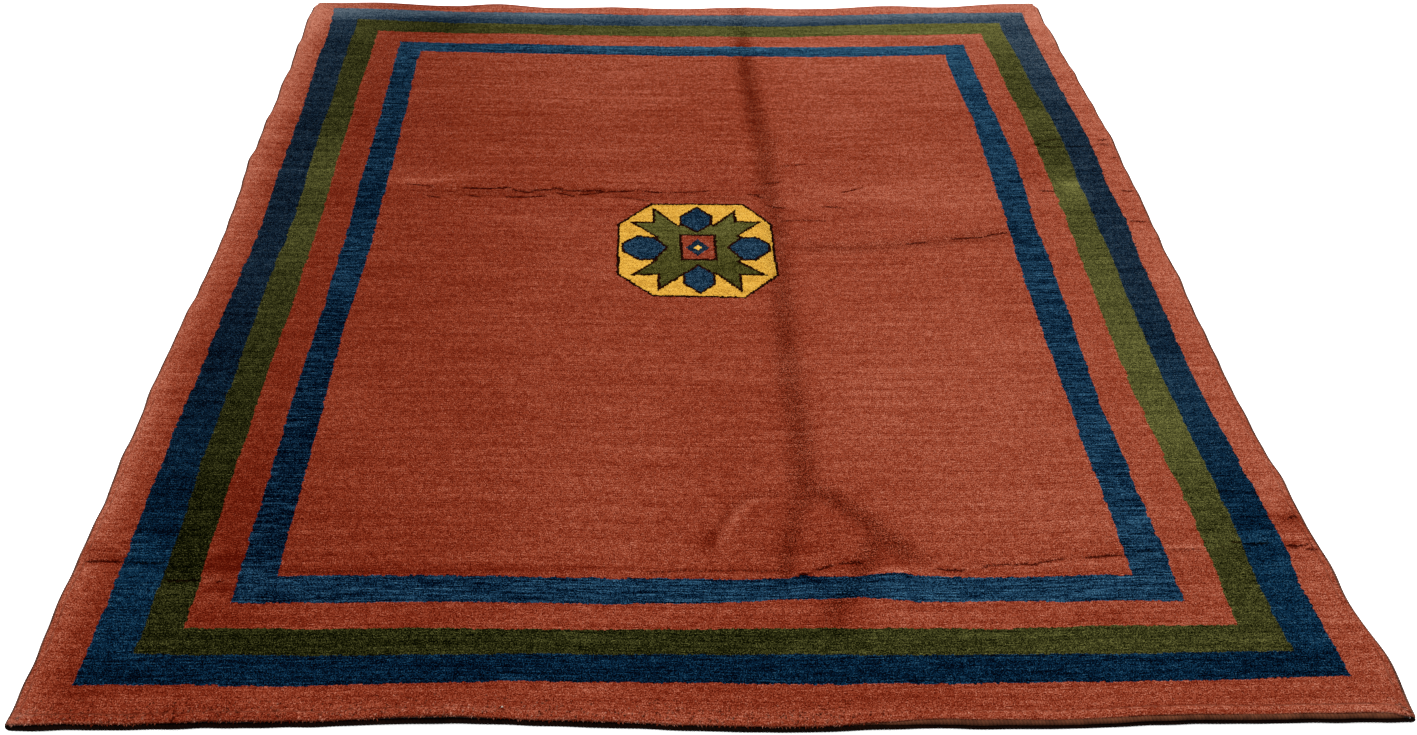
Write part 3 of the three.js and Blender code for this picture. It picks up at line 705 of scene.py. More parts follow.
# Soft light and dark patches of the red pile: x, y, reach across, reach along, change. Partly dye,
# partly painted shade in folds, painted highlights on fold ridges and painted sheen where it leans.
PATCHES = [
    (-960, -1070, 110, 130, -0.24), (-960, -830, 110, 110, -0.1), (-945, -420, 34, 330, -0.12),
    (-950, -40, 60, 70, 0.1), (-950, 560, 60, 320, 0.1), (-757, -750, 60, 250, -0.15),
    (970, -1060, 90, 90, -0.1), (970, -800, 80, 50, -0.12), (960, -90, 70, 90, 0.1),
    (-590, 266, 110, 30, 0.26), (500, 196, 220, 44, 0.12), (-60, 800, 160, 70, 0.04),
    (190, -850, 110, 60, -0.1), (288, -856, 46, 22, -0.16), (164, 820, 19, 420, -0.24),
    (-600, -880, 160, 60, -0.08), (-250, -985, 120, 40, 0.08), (-420, -903, 330, 9, -0.24),
    (-210, 60, 90, 50, 0.08), (-640, -480, 60, 60, 0.12), (-180, 335, 200, 20, -0.12),
    (640, 370, 50, 60, -0.12), (772, 370, 40, 110, -0.17), (600, -990, 90, 34, -0.12),
    (500, -1160, 480, 40, -0.12), (-690, -1150, 140, 34, 0.14), (60, 830, 70, 50, -0.08),
    (12, -842, 16, 18, -0.22), (300, -905, 30, 9, 0.3), (100, -742, 16, 5, 0.4), (80, -751, 14, 6, 0.5),
    (62, -770, 9, 12, 0.5), (48, -793, 7, 16, 0.5), (35, -818, 6, 16, 0.45), (25, -840, 6, 14, 0.4),
    (3, -830, 14, 14, -0.22), (-11, -856, 12, 12, -0.16), (240, -860, 24, 12, 0.22),
    (225, -790, 40, 34, -0.1), (90, -790, 60, 50, -0.06), (-775, -922, 26, 16, 0.34),
    (-755, -882, 34, 20, -0.36), (-763, -960, 30, 12, 0.26), (-752, -940, 30, 5, -0.45),
    (-780, -858, 30, 12, 0.22), (960, -800, 34, 22, -0.16), (760, -857, 34, 5, 0.36),
    (740, -875, 60, 12, 0.1), (-971, -860, 22, 14, -0.4), (-790, -1152, 60, 22, 0.18),
    (280, -893, 34, 10, -0.2), (530, -893, 110, 9, 0.16), (833, -856, 26, 5, 0.2),
    (330, 640, 420, 380, -0.05), (560, -640, 160, 180, 0.05), (-935, 60, 34, 200, 0.07),
]
# Soft light and dark patches of every wool there: partly dye, partly painted shade in valleys,
# folds and notches, and painted sheen at the far end.
SHADES = [
    (-670, 1070, 130, 90, -0.3), (60, -1045, 110, 40, -0.16), (812, -630, 60, 100, -0.1),
    (190, -985, 50, 60, -0.14), (854, 248, 26, 14, 0.4), (850, 215, 40, 40, 0.2),
    (-900, 1140, 60, 60, 0.2), (-380, 1130, 110, 30, 0.12), (-150, 1090, 60, 60, -0.14),
    (300, 1110, 60, 50, 0.1), (450, 1110, 50, 50, -0.1), (680, 1120, 110, 50, 0.1),
    (-480, 1025, 260, 40, -0.12), (250, 1030, 150, 40, -0.1), (830, 700, 60, 260, -0.08),
    (-818, -888, 34, 20, -0.12), (-815, -935, 44, 22, 0.08), (812, -856, 30, 7, 0.25),
    (215, -1000, 26, 40, -0.08), (825, -573, 40, 26, 0.2), (75, 922, 480, 9, 0.24),
    (75, 884, 520, 12, -0.07), (75, 900, 600, 30, 0.06), (151, -915, 9, 5, -0.5),
    (317, -914, 8, 4, -0.45), (0, 900, 2000, 400, -0.03), (345, -947, 40, 12, 0.28),
    (-864, -834, 30, 16, -0.25),
]
# Painted shade in the folds: how much darker the wools show per millimetre of sink.
FOLD_SHADE_RED, FOLD_SHADE_DYES = 0.052, 0.04  # how much a millimetre of fold takes off
FOLD_UNEVEN = [(0.45, 22, 30, 23)]
RED_LEVEL, DYE_LEVEL = -0.04, -0.05  # added all over
MIDDLE_REACH = 650  # how far from the middle a wool changes from left to right


def patches_at(table, x, y):
    total = np.zeros(x.shape)
    for centre_x, centre_y, reach_x, reach_y, change in table:
        reach = np.hypot((x - centre_x) / reach_x, (y - centre_y) / reach_y)
        total += change * np.exp(-(reach**2))
    return total


def dyes_and_light_at(x, y, cloth_y, sink):
    """How light the navy, the blue and the green wool are: their dye lots, painted sheen towards
    the far end, and painted shade in the folds.
    """
    at, *lots = np.array(DYE_LOTS_AND_SHEEN, float).T
    levels = [np.interp(cloth_y, at, lot) for lot in lots]
    right = smoothstep(x, -MIDDLE_REACH, MIDDLE_REACH)
    change = patches_at(SHADES, x, y) - FOLD_SHADE_DYES * sink + DYE_LEVEL
    return [levels[k] * (1 - right) + levels[k + 3] * right + change for k in range(3)]


def red_at(x, y, sink):
    """How light the red pile is: its dye, painted sheen where it leans and towards the far end,
    and painted shade by how deep it lies in a fold.
    """
    across, along = np.array(RED_ACROSS).T, np.array(RED_ALONG).T
    level = np.interp(x, *across) + np.interp(y, *along) + RED_LEVEL + uneven(RED_UNEVEN, x, y)
    level += patches_at(PATCHES, x, y) + patches_at(SHADES, x, y)
    return level - FOLD_SHADE_RED * sink * (1 + uneven(FOLD_UNEVEN, x, y))


# Medallion
# Corners in order round each shape, and notched arms as two edges with a squared notch.
OCTAGON = [
    (-81, 169), (120, 167), (177, 89), (176, -100), (105, -181), (-79, -176), (-153, -98), (-153, 87),
]
LEAVES = [
    [(17, 156), (51, 119), (49, 85), (16, 52), (-21, 85), (-20, 119)],
    [(-144, 15), (-111, 44), (-74, 38), (-45, -1), (-73, -47), (-106, -50), (-142, -17)],
    [(74, -1), (107, 38), (139, 38), (168, 15), (167, -13), (133, -50), (105, -49)],
    [(14, -60), (48, -96), (47, -133), (15, -167), (-20, -132), (-19, -98)],
]
ARMS = [
    (((-132, 101), (-43, 7)), ((-78, 155), (-20, 79)), (-77, 97)),
    (((111, 157), (49, 81)), ((157, 98), (79, 15)), (101, 98)),
    (((-129, -106), (-62, -33)), ((-72, -160), (-18, -102)), (-70, -102)),
    (((159, -106), (96, -49)), ((95, -157), (51, -102)), (100, -103)),
]
HUB = [(-21, 85), (49, 85), (107, 38), (105, -49), (48, -96), (-19, -98), (-73, -47), (-74, 38)]
SQUARE = [(-23, 47), (55, 46), (54, -49), (-22, -48)]
DIAMOND = [(16, 29), (39, -3), (14, -33), (-10, -3)]
HEART, HEART_REACH = (15, -3), 9.0
MEDALLION_REACH = 215
OUTLINE_MM = 6.0


def half_plane(nodes, place, start, end, inside):
    """Signed distance in millimetres to a line, positive on the side of the inside point."""
    start, end, inside = Vector(start), Vector(end), Vector(inside)
    along = (end - start).normalized()
    normal = Vector((-along.y, along.x))
    if normal.dot(inside - start) < 0:
        normal = -normal
    return nodes.vector("DOT_PRODUCT", place, (normal.x, normal.y, -normal.dot(start)))


def inside_polygon(nodes, place, corners):
    middle = sum((Vector(c) for c in corners), Vector((0, 0))) / len(corners)
    sides = zip(corners, closed(corners)[1:].tolist())
    return nodes.smallest(*(half_plane(nodes, place, *side, middle) for side in sides))


def inside_arm(nodes, place, arm):
    first, second, notch = arm
    middle = (Vector(first[1]) + Vector(second[1])) / 2
    past = []
    for axis, corner, heart in zip(nodes.split(place), notch, HEART):
        away = math.copysign(1, corner - heart)
        past.append(nodes.times(axis, -away, away * corner))
    # an arm ends at the heart, so that it shows on its own side alone
    edges = first, second, arm_base(notch)
    depths = (half_plane(nodes, place, *edge, middle) for edge in edges)
    return nodes.smallest(nodes.math("MAXIMUM", *past), *depths)


def arm_base(notch):
    """A line by the heart, square to the arm's direction."""
    toward = (Vector(notch) - Vector(HEART)).normalized()
    start = Vector(HEART) - toward * 4
    return start, start + Vector((-toward.y, toward.x)) * 10


def draw(nodes, base, depth, fill, outline):
    """Paints a shape with its one-knot outline over a base colour."""
    return nodes.mix(nodes.over(depth), base, nodes.mix(nodes.over(depth, OUTLINE_MM), outline, fill))


# Wool
# Each wool's shades as display values, deep at level 0 and pale at 1. Knots vary about a level.
MADDER = [(-0.4, 84, 20, 10), (0, 113, 37, 21), (0.5, 151, 67, 45), (1.4, 221, 146, 122)]
# The navy has two sets of shades: NAVY_WOOL, greyed by painted sheen, away from the near end, and
# NAVY_NEAR as it shows close by.
NAVY_WOOL = [
    (-0.3, 7, 8, 12), (0, 15, 18, 28), (0.4, 26, 48, 68), (0.9, 63, 80, 93), (1.4, 108, 122, 134),
]
NAVY_NEAR = [
    (-0.3, 7, 9, 15), (0, 10, 21, 35), (0.4, 16, 47, 73), (0.9, 44, 85, 112), (1.4, 94, 131, 150),
]
BLUE_WOOL = [(-0.3, 3, 7, 16), (0, 8, 20, 36), (0.4, 25, 54, 79), (1.4, 84, 134, 164)]
GREEN_WOOL = [(-0.4, 8, 11, 5), (0, 32, 33, 15), (1.4, 143, 142, 80)]
YELLOW_WOOL = [(-0.4, 124, 74, 14), (0.5, 229, 170, 63), (1.4, 255, 212, 110)]
LEAF_WOOL = [(-0.4, 4, 16, 30), (0.4, 27, 54, 76), (1.4, 84, 118, 144)]
STAR_WOOL = [(-0.4, 14, 14, 2), (0.5, 86, 84, 40), (1.4, 148, 146, 88)]
OUTLINE_WOOL = [(-0.4, 6, 2, 1), (0.4, 36, 16, 12), (1.4, 100, 56, 44)]
LINT, LINT_LEVEL = (0.8, 0.76, 0.7, 1.0), 0.984
BACK_WEFT = srgb(78, 44, 30)
OVERCAST_WOOL = srgb(50, 30, 24), srgb(114, 72, 56)
HEM_WOOL = srgb(54, 28, 18), srgb(106, 61, 41)
DISPLAY_GAMMA = 2.2
WOOL_LIGHT = 0.54  # base colour against the shade it shows as
KNOT_ACROSS, KNOT_ALONG = 4.9, 5.9
KNOT_PULL = 0.6  # how much of a knot takes the colour of its middle
GRAIN, LEAF_GRAIN = 0.62, 1.0  # how far the knots vary
FAR_GRAIN, FAR_ROWS = 1.22, (-300.0, 800.0)  # and more where the far end catches the light
# Painted sheen: away from these rows the navy takes its greyer shades.
NEAR_ROWS = (-150.0, -850.0)  # where the stripes turn to how they look close by
WEFT_SPAN = (0.42, 0.66, -0.2, 0.38)  # how the light lines of weft come out of their noise
STAR_SPAN, LEAF_SPAN = (-90.0, 70.0, 0.24, 0.48), (10.0, 120.0, 0.29, 0.12)  # y, level
# Painted shade in parted rows and fold specks, and a painted highlight on a parted row's lip.
CRACK_LIGHT = (0.2, 0.09, 0.07)  # what a parted row keeps of the red, green and blue light
FOLD_LIGHT, LIP_LIGHT = 0.46, 1.22  # how light the specks in a fold and a parted row's lip are
LIP_AT, LIP_REACH = 4.6, 2.4
ROUGHNESS = 0.95


def knot_places(nodes):
    """Millimetre places on the cloth and of the knot there, and noise for its fibres."""
    place = nodes.place()
    cloth = nodes.vector("ADD", place, nodes.attribute("lay"))
    counted = nodes.vector("MULTIPLY", cloth, (1 / KNOT_ACROSS, 1 / KNOT_ALONG, 0.0))
    inputs = {"Vector": counted, "Scale": 1.0, "Randomness": 0.6}
    cells = nodes.add("TexVoronoi", inputs, voronoi_dimensions="2D").outputs
    tip = nodes.vector("MULTIPLY", cells["Position"], (KNOT_ACROSS, KNOT_ALONG, 0.0))
    flat = nodes.vector("MULTIPLY", cloth, (1.0, 1.0, 0.0))
    shift = nodes.scaled(nodes.vector("SUBTRACT", tip, flat), KNOT_PULL)
    return {
        "cloth": flat,
        "knot": nodes.vector("ADD", place, shift),
        "knot_cloth": tip,
        "random": cells["Color"],
        "from_tip": cells["Distance"],
        "fibres": nodes.grain(flat, 1.9, 2.2, 0.0),
        "locks": nodes.grain(flat, 3.6, 3.6, 1.0),
        "clumps": nodes.grain(flat, 14, 16, 1.0),
    }


def wool_colour(nodes, at, stripes=True, medallion=True):
    """The colour of each knot: red, with the stripes and the medallion where they are asked for."""
    knot_random = nodes.add("SeparateColor", {"Color": at["random"]}).outputs
    row = nodes.split(at["cloth"])[1]
    bend = nodes.times(at["clumps"], 7.0)
    row_wave = nodes.math("SINE", nodes.times(row, 2 * math.pi / KNOT_ALONG, bend))
    wefts = nodes.grain(at["cloth"], 34, 2.7, 2.0)
    streaks = nodes.grain(at["knot_cloth"], 260, 9, 1.0)
    noises = (
        (at["fibres"], 3.4),
        (at["locks"], 1.0),
        (at["clumps"], 0.4),
        (wefts, 1.1),
        (streaks, 1.0),
        (knot_random[0], 0.5),
    )
    vary = nodes.times(row_wave, 0.12, -sum(weight / 2 for _, weight in noises))
    for value, weight in noises:
        vary = nodes.times(value, weight, vary)
    vary = nodes.times(vary, nodes.span(row, *FAR_ROWS, 1.0, FAR_GRAIN))
    dyes_and_light = nodes.split(nodes.attribute("dyes_and_light"))
    # the red's level, the painted light and the painted sheen
    red_level, light, painted_sheen = nodes.split(nodes.attribute("shade"))

    def wool(shades, level, spread=GRAIN):
        """A wool's display shade: its level with the painted sheen, varied from knot to knot."""
        return nodes.ramp(nodes.times(vary, spread, nodes.math("ADD", level, painted_sheen)), shades)

    colour = madder = wool(MADDER, red_level)
    if stripes:
        x, y, _ = nodes.split(nodes.vector("ADD", at["knot"], nodes.attribute("weave")))
        inward = nodes.smallest(
            nodes.math("SUBTRACT", float(HALF_WIDTH), nodes.math("ABSOLUTE", x)),
            nodes.math("SUBTRACT", float(HALF_LENGTH), nodes.math("ABSOLUTE", y)),
        )
        nearness = nodes.span(row, *NEAR_ROWS)
        light_weft = nodes.span(nodes.grain(at["cloth"], 64, 3.2, 2.0), *WEFT_SPAN)
        navy_level = nodes.times(light_weft, nodes.times(nearness, 0.5), dyes_and_light[0])
        navy = nodes.mix(nearness, wool(NAVY_WOOL, navy_level), wool(NAVY_NEAR, navy_level))
        for start, fill in (
            (NAVY, navy),
            (GREEN, wool(GREEN_WOOL, dyes_and_light[2])),
            (BAND, madder),
            (BLUE, wool(BLUE_WOOL, nodes.math("ADD", dyes_and_light[1], light_weft))),
            (FIELD, madder),
        ):
            colour = nodes.mix(nodes.over(inward, float(start)), colour, fill)
    if medallion:
        colour = medallion_colour(nodes, at, colour, madder, wool)
    bright = nodes.math("SUBTRACT", knot_random[1], at["from_tip"])
    colour = nodes.mix(nodes.over(bright, LINT_LEVEL), colour, LINT)
    colour = nodes.add("Gamma", {"Color": colour, "Gamma": DISPLAY_GAMMA}).outputs[0]
    # painted light: darkens the rim's flank and the tufts' feet, lightens the tuft tips
    return nodes.scaled(colour, nodes.times(light, WOOL_LIGHT))


def medallion_colour(nodes, at, colour, madder, wool):
    """The octagon, the star with its leaves, and the square with its diamond and heart."""
    spot = nodes.vector("MULTIPLY_ADD", at["knot"], (1.0, 1.0, 0.0), (0.0, 0.0, 1.0))
    spot_y = nodes.split(spot)[1]
    line = wool(OUTLINE_WOOL, 0.3)
    star_wool = wool(STAR_WOOL, nodes.span(spot_y, *STAR_SPAN))
    leaf_wool = wool(LEAF_WOOL, nodes.span(spot_y, *LEAF_SPAN), LEAF_GRAIN)
    star = inside_polygon(nodes, spot, HUB)
    for arm in ARMS:
        star = nodes.math("MAXIMUM", star, inside_arm(nodes, spot, arm))
    shapes = [
        (inside_polygon(nodes, spot, OCTAGON), wool(YELLOW_WOOL, 0.5)),
        (star, star_wool),
        *((inside_polygon(nodes, spot, leaf), leaf_wool) for leaf in LEAVES),
        (inside_polygon(nodes, spot, SQUARE), madder),
    ]
    for depth, fill in shapes:
        colour = draw(nodes, colour, depth, fill, line)
    diamond = nodes.over(inside_polygon(nodes, spot, DIAMOND))
    colour = nodes.mix(diamond, colour, wool(NAVY_WOOL, 0.3))
    from_heart = nodes.vector("ABSOLUTE", nodes.vector("SUBTRACT", spot, (*HEART, 0.0)))
    heart_x, heart_y, _ = nodes.split(from_heart)
    heart = nodes.math("LESS_THAN", nodes.math("ADD", heart_x, heart_y), HEART_REACH)
    return nodes.mix(heart, colour, wool(YELLOW_WOOL, 0.7))


def pile_material(name, stripes, medallion):
    """The clipped pile, with dark specks of painted shade in the folds, painted highlights on the
    lips of the parted rows, and dark slits of painted shade in the parted rows.
    """
    nodes = Nodes(name)
    at = knot_places(nodes)
    fibres, locks = at["fibres"], at["locks"]
    from_row, opened, sink = nodes.split(nodes.attribute("parting"))

    # painted shade: dark specks where the pile lies deep in a fold
    speck = nodes.times(fibres, 0.7, nodes.times(locks, 0.3))
    fold = nodes.times(nodes.span(sink, 0.4, 3.4), nodes.span(speck, 0.55, 0.43))
    line = nodes.times(fibres, 3.0, nodes.times(locks, 5.0, -4.0))
    line = nodes.math("ADD", from_row, line)
    # painted highlight along the lip of an open row
    from_lip = nodes.math("ABSOLUTE", nodes.math("ADD", line, LIP_AT))
    lip = nodes.math("SUBTRACT", 1.0, nodes.math("DIVIDE", from_lip, LIP_REACH), clamp=True)
    lip = nodes.times(lip, nodes.span(opened, 0.1, 0.7))
    light = nodes.times(
        nodes.span(fold, 0.0, 1.0, 1.0, FOLD_LIGHT), nodes.span(lip, 0.0, 1.0, 1.0, LIP_LIGHT)
    )
    colour = nodes.scaled(wool_colour(nodes, at, stripes, medallion), light)

    width = nodes.times(
        nodes.span(at["clumps"], 0.3, 0.52, 1.1, 2.8), nodes.span(locks, 0.36, 0.6, 0.4, 2.0)
    )
    slit = nodes.math("DIVIDE", nodes.math("ABSOLUTE", line), width)
    slit = nodes.math("SQRT", nodes.math("SUBTRACT", 1.0, slit, clamp=True))
    slit = nodes.times(slit, nodes.span(opened, 0.05, 0.25))
    broken = nodes.times(locks, 2.4, nodes.math("SUBTRACT", opened, 1.2))
    slit = nodes.times(slit, nodes.span(broken, 0.1, 0.7))
    slit_shade = nodes.vector("MULTIPLY", colour, CRACK_LIGHT)
    height = nodes.times(fibres, 1.1, nodes.times(locks, 0.8))
    return nodes.surface(
        Base_Color=nodes.mix(nodes.span(slit, 0.0, 0.7), colour, slit_shade),
        Roughness=ROUGHNESS,
        Specular_IOR_Level=0.0,
        Normal=nodes.bump(height, 0.002, 0.8),
    )


def back_material():
    """The back: each knot shows as two flat ribs, held by the brown wefts between the rows."""
    nodes = Nodes("woven back")
    at = knot_places(nodes)
    x, y, _ = nodes.split(at["cloth"])
    ribs, rows = (
        nodes.math("ABSOLUTE", nodes.math("SINE", nodes.times(axis, math.pi / length)))
        for axis, length in ((x, KNOT_ACROSS / 2), (y, KNOT_ALONG))
    )
    weft = nodes.span(rows, 0.18, 0.4, 0.0, 1.0, "SMOOTHSTEP")
    colour = nodes.mix(weft, BACK_WEFT, wool_colour(nodes, at))
    # painted shade in the hollows between the ribs and between the rows
    shade = nodes.times(
        nodes.span(ribs, 0.0, 1.0, 0.62, 0.95), nodes.span(rows, 0.0, 1.0, 0.7, 1.0)
    )
    return nodes.surface(
        Base_Color=nodes.scaled(colour, shade),
        Roughness=ROUGHNESS,
        Specular_IOR_Level=0.12,
        Sheen_Weight=0.08,
        Normal=nodes.bump(nodes.times(ribs, rows), 0.0012, 0.9),
    )


def yarn_material(name, dark, light):
    nodes = Nodes(name)
    place = nodes.place()
    fibres = nodes.noise(place, 1.4, 3.0, 0.7)
    amount = nodes.times(nodes.noise(place, 0.05, 2.0), 0.6, nodes.times(fibres, 0.4))
    colour = nodes.mix(nodes.span(amount, 0.3, 0.7), dark, light)
    # painted light and shade, carried by the turn value of each cord
    lit = nodes.span(nodes.attribute("turn", "Fac"), 0.0, 1.0, 0.015, 1.0)
    return nodes.surface(
        Base_Color=nodes.scaled(colour, lit),
        Roughness=ROUGHNESS,
        Specular_IOR_Level=0.02,
        Normal=nodes.bump(fibres, 0.0006, 0.7),
    )


# Meshes
TOP, BACK, MEDALLION = 0, 1, 2  # the rug's materials in their order
BACK_STEP = 3  # the underside has every third line
FIRST_BACK_STEP = 7  # of the rim's section
# Painted sheen: the pile's tips show paler by the near end.
NEAR_SHEEN, NEAR_TIPS = 0.1, (12, 30)  # how much paler the pile shows by the near end, and where
CLIPPED = [(0.45, 14, 15, 31), (0.3, 46, 60, 32)]  # how unevenly the pile is clipped
CLIPPED_SEED, CLIPPED_REACH = 33, 0.3
# Painted shade beside an open row.
PARTED_SHADE = 0.16  # how much darker the red is by an open row
# How much painted light each step of the rim's section keeps, from the top down: painted shade
# darkens the rim's flank, near black below the ends' pile.
SIDE_LIGHT = [1, 1, 1, 0.95, 0.8, 0.6, 0.4, 0.25, 0.5, 0.8]
END_LIGHT = [1, 1, 1, 1, 0.8, 0.35, 0.06, 0.02, 0.2, 0.8]


def make_object(name, points, faces, materials, slots=None):
    """A mesh of places in millimetres, moved so that the rug's middle is the origin."""
    mesh = bpy.data.meshes.new(name)
    mesh.from_pydata(((points - [*MIDDLE, 0]) * MM).tolist(), [], faces)
    for material in materials:
        mesh.materials.append(material)
    if slots is not None:
        mesh.polygons.foreach_set("material_index", slots)
    mesh.polygons.foreach_set("use_smooth", [True] * len(mesh.polygons))
    mesh.update()
    return add_object(name, mesh)


def set_values(thing, name, values):
    """Stores one value or one vector per vertex, for the material."""
    kind, field = ("FLOAT_VECTOR", "vector") if values.ndim == 2 else ("FLOAT", "value")
    attribute = thing.data.attributes.new(name, kind, "POINT")
    attribute.data.foreach_set(field, np.ascontiguousarray(values, np.float32).ravel())


def quads(index):
    """The faces between the places of a grid, given by their numbers."""
    corners = index[:-1, :-1], index[:-1, 1:], index[1:, 1:], index[1:, :-1]
    return np.stack(corners, -1).reshape(-1, 4)


class PileMesh:
    """Collects the places and faces of a piece of pile, with their cloth lines, painted light and
    painted sheen.
    """

    def __init__(self):
        self.places, self.cloth, self.light, self.pale = [], [], [], []
        self.faces, self.slots = [], []
        self.count = 0

    def add(self, places, cloth, light, pale):
        """Adds a row or a grid of places, and gives back their numbers."""
        count = places[..., 0].size
        self.places.append(places.reshape(-1, 3))
        self.cloth.append(cloth.reshape(-1, 2))
        self.light.append(np.broadcast_to(light, count))
        self.pale.append(np.ravel(pale))
        self.count += count
        return np.arange(self.count - count, self.count).reshape(places.shape[:-1])

    def join(self, faces, slot=TOP):
        self.faces += faces.tolist()
        self.slots += np.broadcast_to(slot, len(faces)).tolist()

    def finish(self, name, materials):
        """Makes the object, with what the pile's material reads at every place."""
        points, cloth, light, pale = (
            np.concatenate(rows) for rows in (self.places, self.cloth, self.light, self.pale)
        )
        thing = make_object(name, points, self.faces, materials, self.slots)
        x, y, _ = points.T
        flat_x, flat_y = x - MIDDLE[0], y - MIDDLE[1]
        sink = sink_at(x, y)
        nearest, opened, _ = parted_at(x, y)
        for attribute, columns in {
            "lay": (cloth[:, 0] - flat_x, cloth[:, 1] - flat_y, 0 * x),
            "weave": weave_offset(flat_x, flat_y, THICKNESS + lift_at(x, y) - sink),
            "dyes_and_light": dyes_and_light_at(x, y, cloth[:, 1], sink),
            "parting": (nearest, opened, sink),
            # the red's level with painted shade by folds and open rows, the painted light, the painted
            # sheen
            "shade": (red_at(x, y, sink) - PARTED_SHADE * opened, light, pale),
        }.items():
            set_values(thing, attribute, np.stack(columns, -1))
        return thing


def near_painted_sheen(places):
    x, y = places[..., 0], places[..., 1]
    return NEAR_SHEEN * (1 - smoothstep(y - near_y(x), *NEAR_TIPS))


def make_rug(*materials):
    """The pile, the rim's loops from the top down, and the underside, as one closed cloth."""
    rug = PileMesh()
    loops = [rim_loop(step) for step in range(len(SIDE_SECTION))]
    top = fill_loop(loops[0])
    x, y = top[..., 0], top[..., 1]
    random = np.random.default_rng(CLIPPED_SEED)
    clipped = uneven(CLIPPED, x, y) + random.uniform(-CLIPPED_REACH, CLIPPED_REACH, x.shape)
    height = THICKNESS + lift_at(x, y) - sink_at(x, y) - parted_at(x, y)[2] + clipped
    top[1:-1, 1:-1, 2] = height[1:-1, 1:-1]
    index = rug.add(top, CLOTH, 1, near_painted_sheen(top))
    in_medallion = np.maximum(np.abs(x), np.abs(y))[:-1, :-1] < MEDALLION_REACH
    rug.join(quads(index), np.where(in_medallion, MEDALLION, TOP).ravel())

    upper, over = rim_of(index), 0
    for step in range(1, len(loops)):
        loop = loops[step]
        over = over + np.linalg.norm(loop - loops[step - 1], axis=1)[:, None]
        light = np.where(ON_END, END_LIGHT[step], SIDE_LIGHT[step])
        lower = rug.add(loop, rim_of(CLOTH) - INWARD * over, light, near_painted_sheen(loop))
        ring = closed(np.column_stack([upper, lower]))
        rug.join(quads(ring), TOP if step < FIRST_BACK_STEP else BACK)
        upper = lower

    under, under_cloth = (
        grid[::BACK_STEP, ::BACK_STEP][1:-1, 1:-1] for grid in (fill_loop(loops[-1]), CLOTH)
    )
    under[..., 2] = lift_at(under[..., 0], under[..., 1])
    index = rug.add(under, under_cloth, 1, near_painted_sheen(under))
    rug.join(quads(index.T), BACK)
    rug.join(zip_loops(upper, rim_of(index), np.concatenate(rug.places)), BACK)
    return rug.finish("rug_cloth", materials)


def zip_loops(outer, inner, points):
    """Triangles between two closed loops of different lengths, seen from below."""
    loops = closed(outer), closed(inner)
    middle = points[inner].mean(axis=0)
    steps = []
    for which, loop in enumerate(loops):
        x, y, _ = (points[loop] - middle).T
        steps += [(turn, which) for turn in np.unwrap(np.arctan2(y, x))[1:]]
    at, faces = [0, 0], []
    for _, which in sorted(steps):
        start = [loop[k] for loop, k in zip(loops, at)]
        at[which] += 1
        faces.append([*start, loops[which][at[which]]])
    return np.array(faces)


# Cords and hems
TURN, RIB = 4.6, 5.4  # one turn of the overcast wool, and one rib of the hems
LEFT_OUT, RIGHT_OUT = 0.6, 1.5  # how far the cords stand out past the outline
# Radius, place inward and height, each with its change where the near end is bare.
NEAR_RADIUS, NEAR_THINNER, NEAR_IN, NEAR_OUT = 4.3, 1.2, 1.7, 0.9
BAND_RADIUS, BAND_GROWTH, BAND_IN, BAND_DEEPER, BAND_UP, BAND_RISE = 1.0, 3.3, 4.8, 0.6, 5.5, 2.4
FAR_RADIUS, FAR_IN, FAR_UP = 3.1, 3.7, 3.5
BAND_START, BAND_LIFT = 120, 0.5  # where the band starts, and its share of the lift
CORNER_STATIONS = 4  # how far the near hem runs round the corners
TIP_LENGTH, TIP_SHARE = 4.0, 0.12


def waves(places, *rows):
    """Slow unevenness along a cord. Each row says how much, and in what length."""
    return sum(much * np.sin(places / length) for much, length in rows)


def ridged(radius, ridge):
    return radius * (0.86 + 0.14 * np.sqrt(ridge))


def overcast(places, angle):
    slant = places / TURN - angle / (2 * np.pi) * 0.35
    ridge = np.abs(np.sin(np.pi * (slant + waves(places, (0.18, 17.0), (0.11, 5.3)))))
    swell = waves(places, (0.16, 41.0), (0.1, 13.7))
    # painted shade between the overcast turns, carried as the turn value
    return ridged(CORD / 2, ridge) + swell, 0.3 + 0.7 * ridge


def rib(places, angle, radius):
    ridge = np.abs(np.sin(np.pi * (places / RIB + angle / (2 * np.pi) * 1.5)))
    return ridged(radius, ridge) + waves(places, (0.16, 31.0), (0.1, 9.7)), ridge


def near_hem_radius(x, bare):
    """Thinner near its ends, and where the hem shows in front of the pile."""
    narrowed = 0.75 + 0.25 * smoothstep(HALF_WIDTH - np.abs(x), 5, 60)
    return (NEAR_RADIUS - NEAR_THINNER * bare) * narrowed


def near_hem_rib(places, angle):
    """The near hem's turned edge below the pile, painted near black as the shade there."""
    x = places - HALF_WIDTH
    radius, ridge = rib(places, angle, near_hem_radius(x, bare_at(x)))
    return radius, 0.04 * ridge


def near_band_rib(places, angle):
    """The brown band of the near hem, where it shows in front of the pile, with painted light on its
    upper face and painted shade below it, between its ribs and where the pile covers it.
    """
    bare = bare_at(places + BAND_START)
    radius, ridge = rib(places, angle, BAND_RADIUS + BAND_GROWTH * bare)
    signed = (angle + np.pi) % (2 * np.pi) - np.pi
    lit = smoothstep(signed, -0.7, 1.3) * (1 - smoothstep(signed, 1.9, 2.5))
    return radius, lit * (0.5 + 0.5 * ridge) * (0.5 + 0.5 * bare)


def far_hem_rib(places, angle):
    radius, ridge = rib(places, angle, FAR_RADIUS)
    # painted shade: the far hem is darkened, most between its ribs
    return radius, 0.35 * (0.45 + 0.55 * ridge)


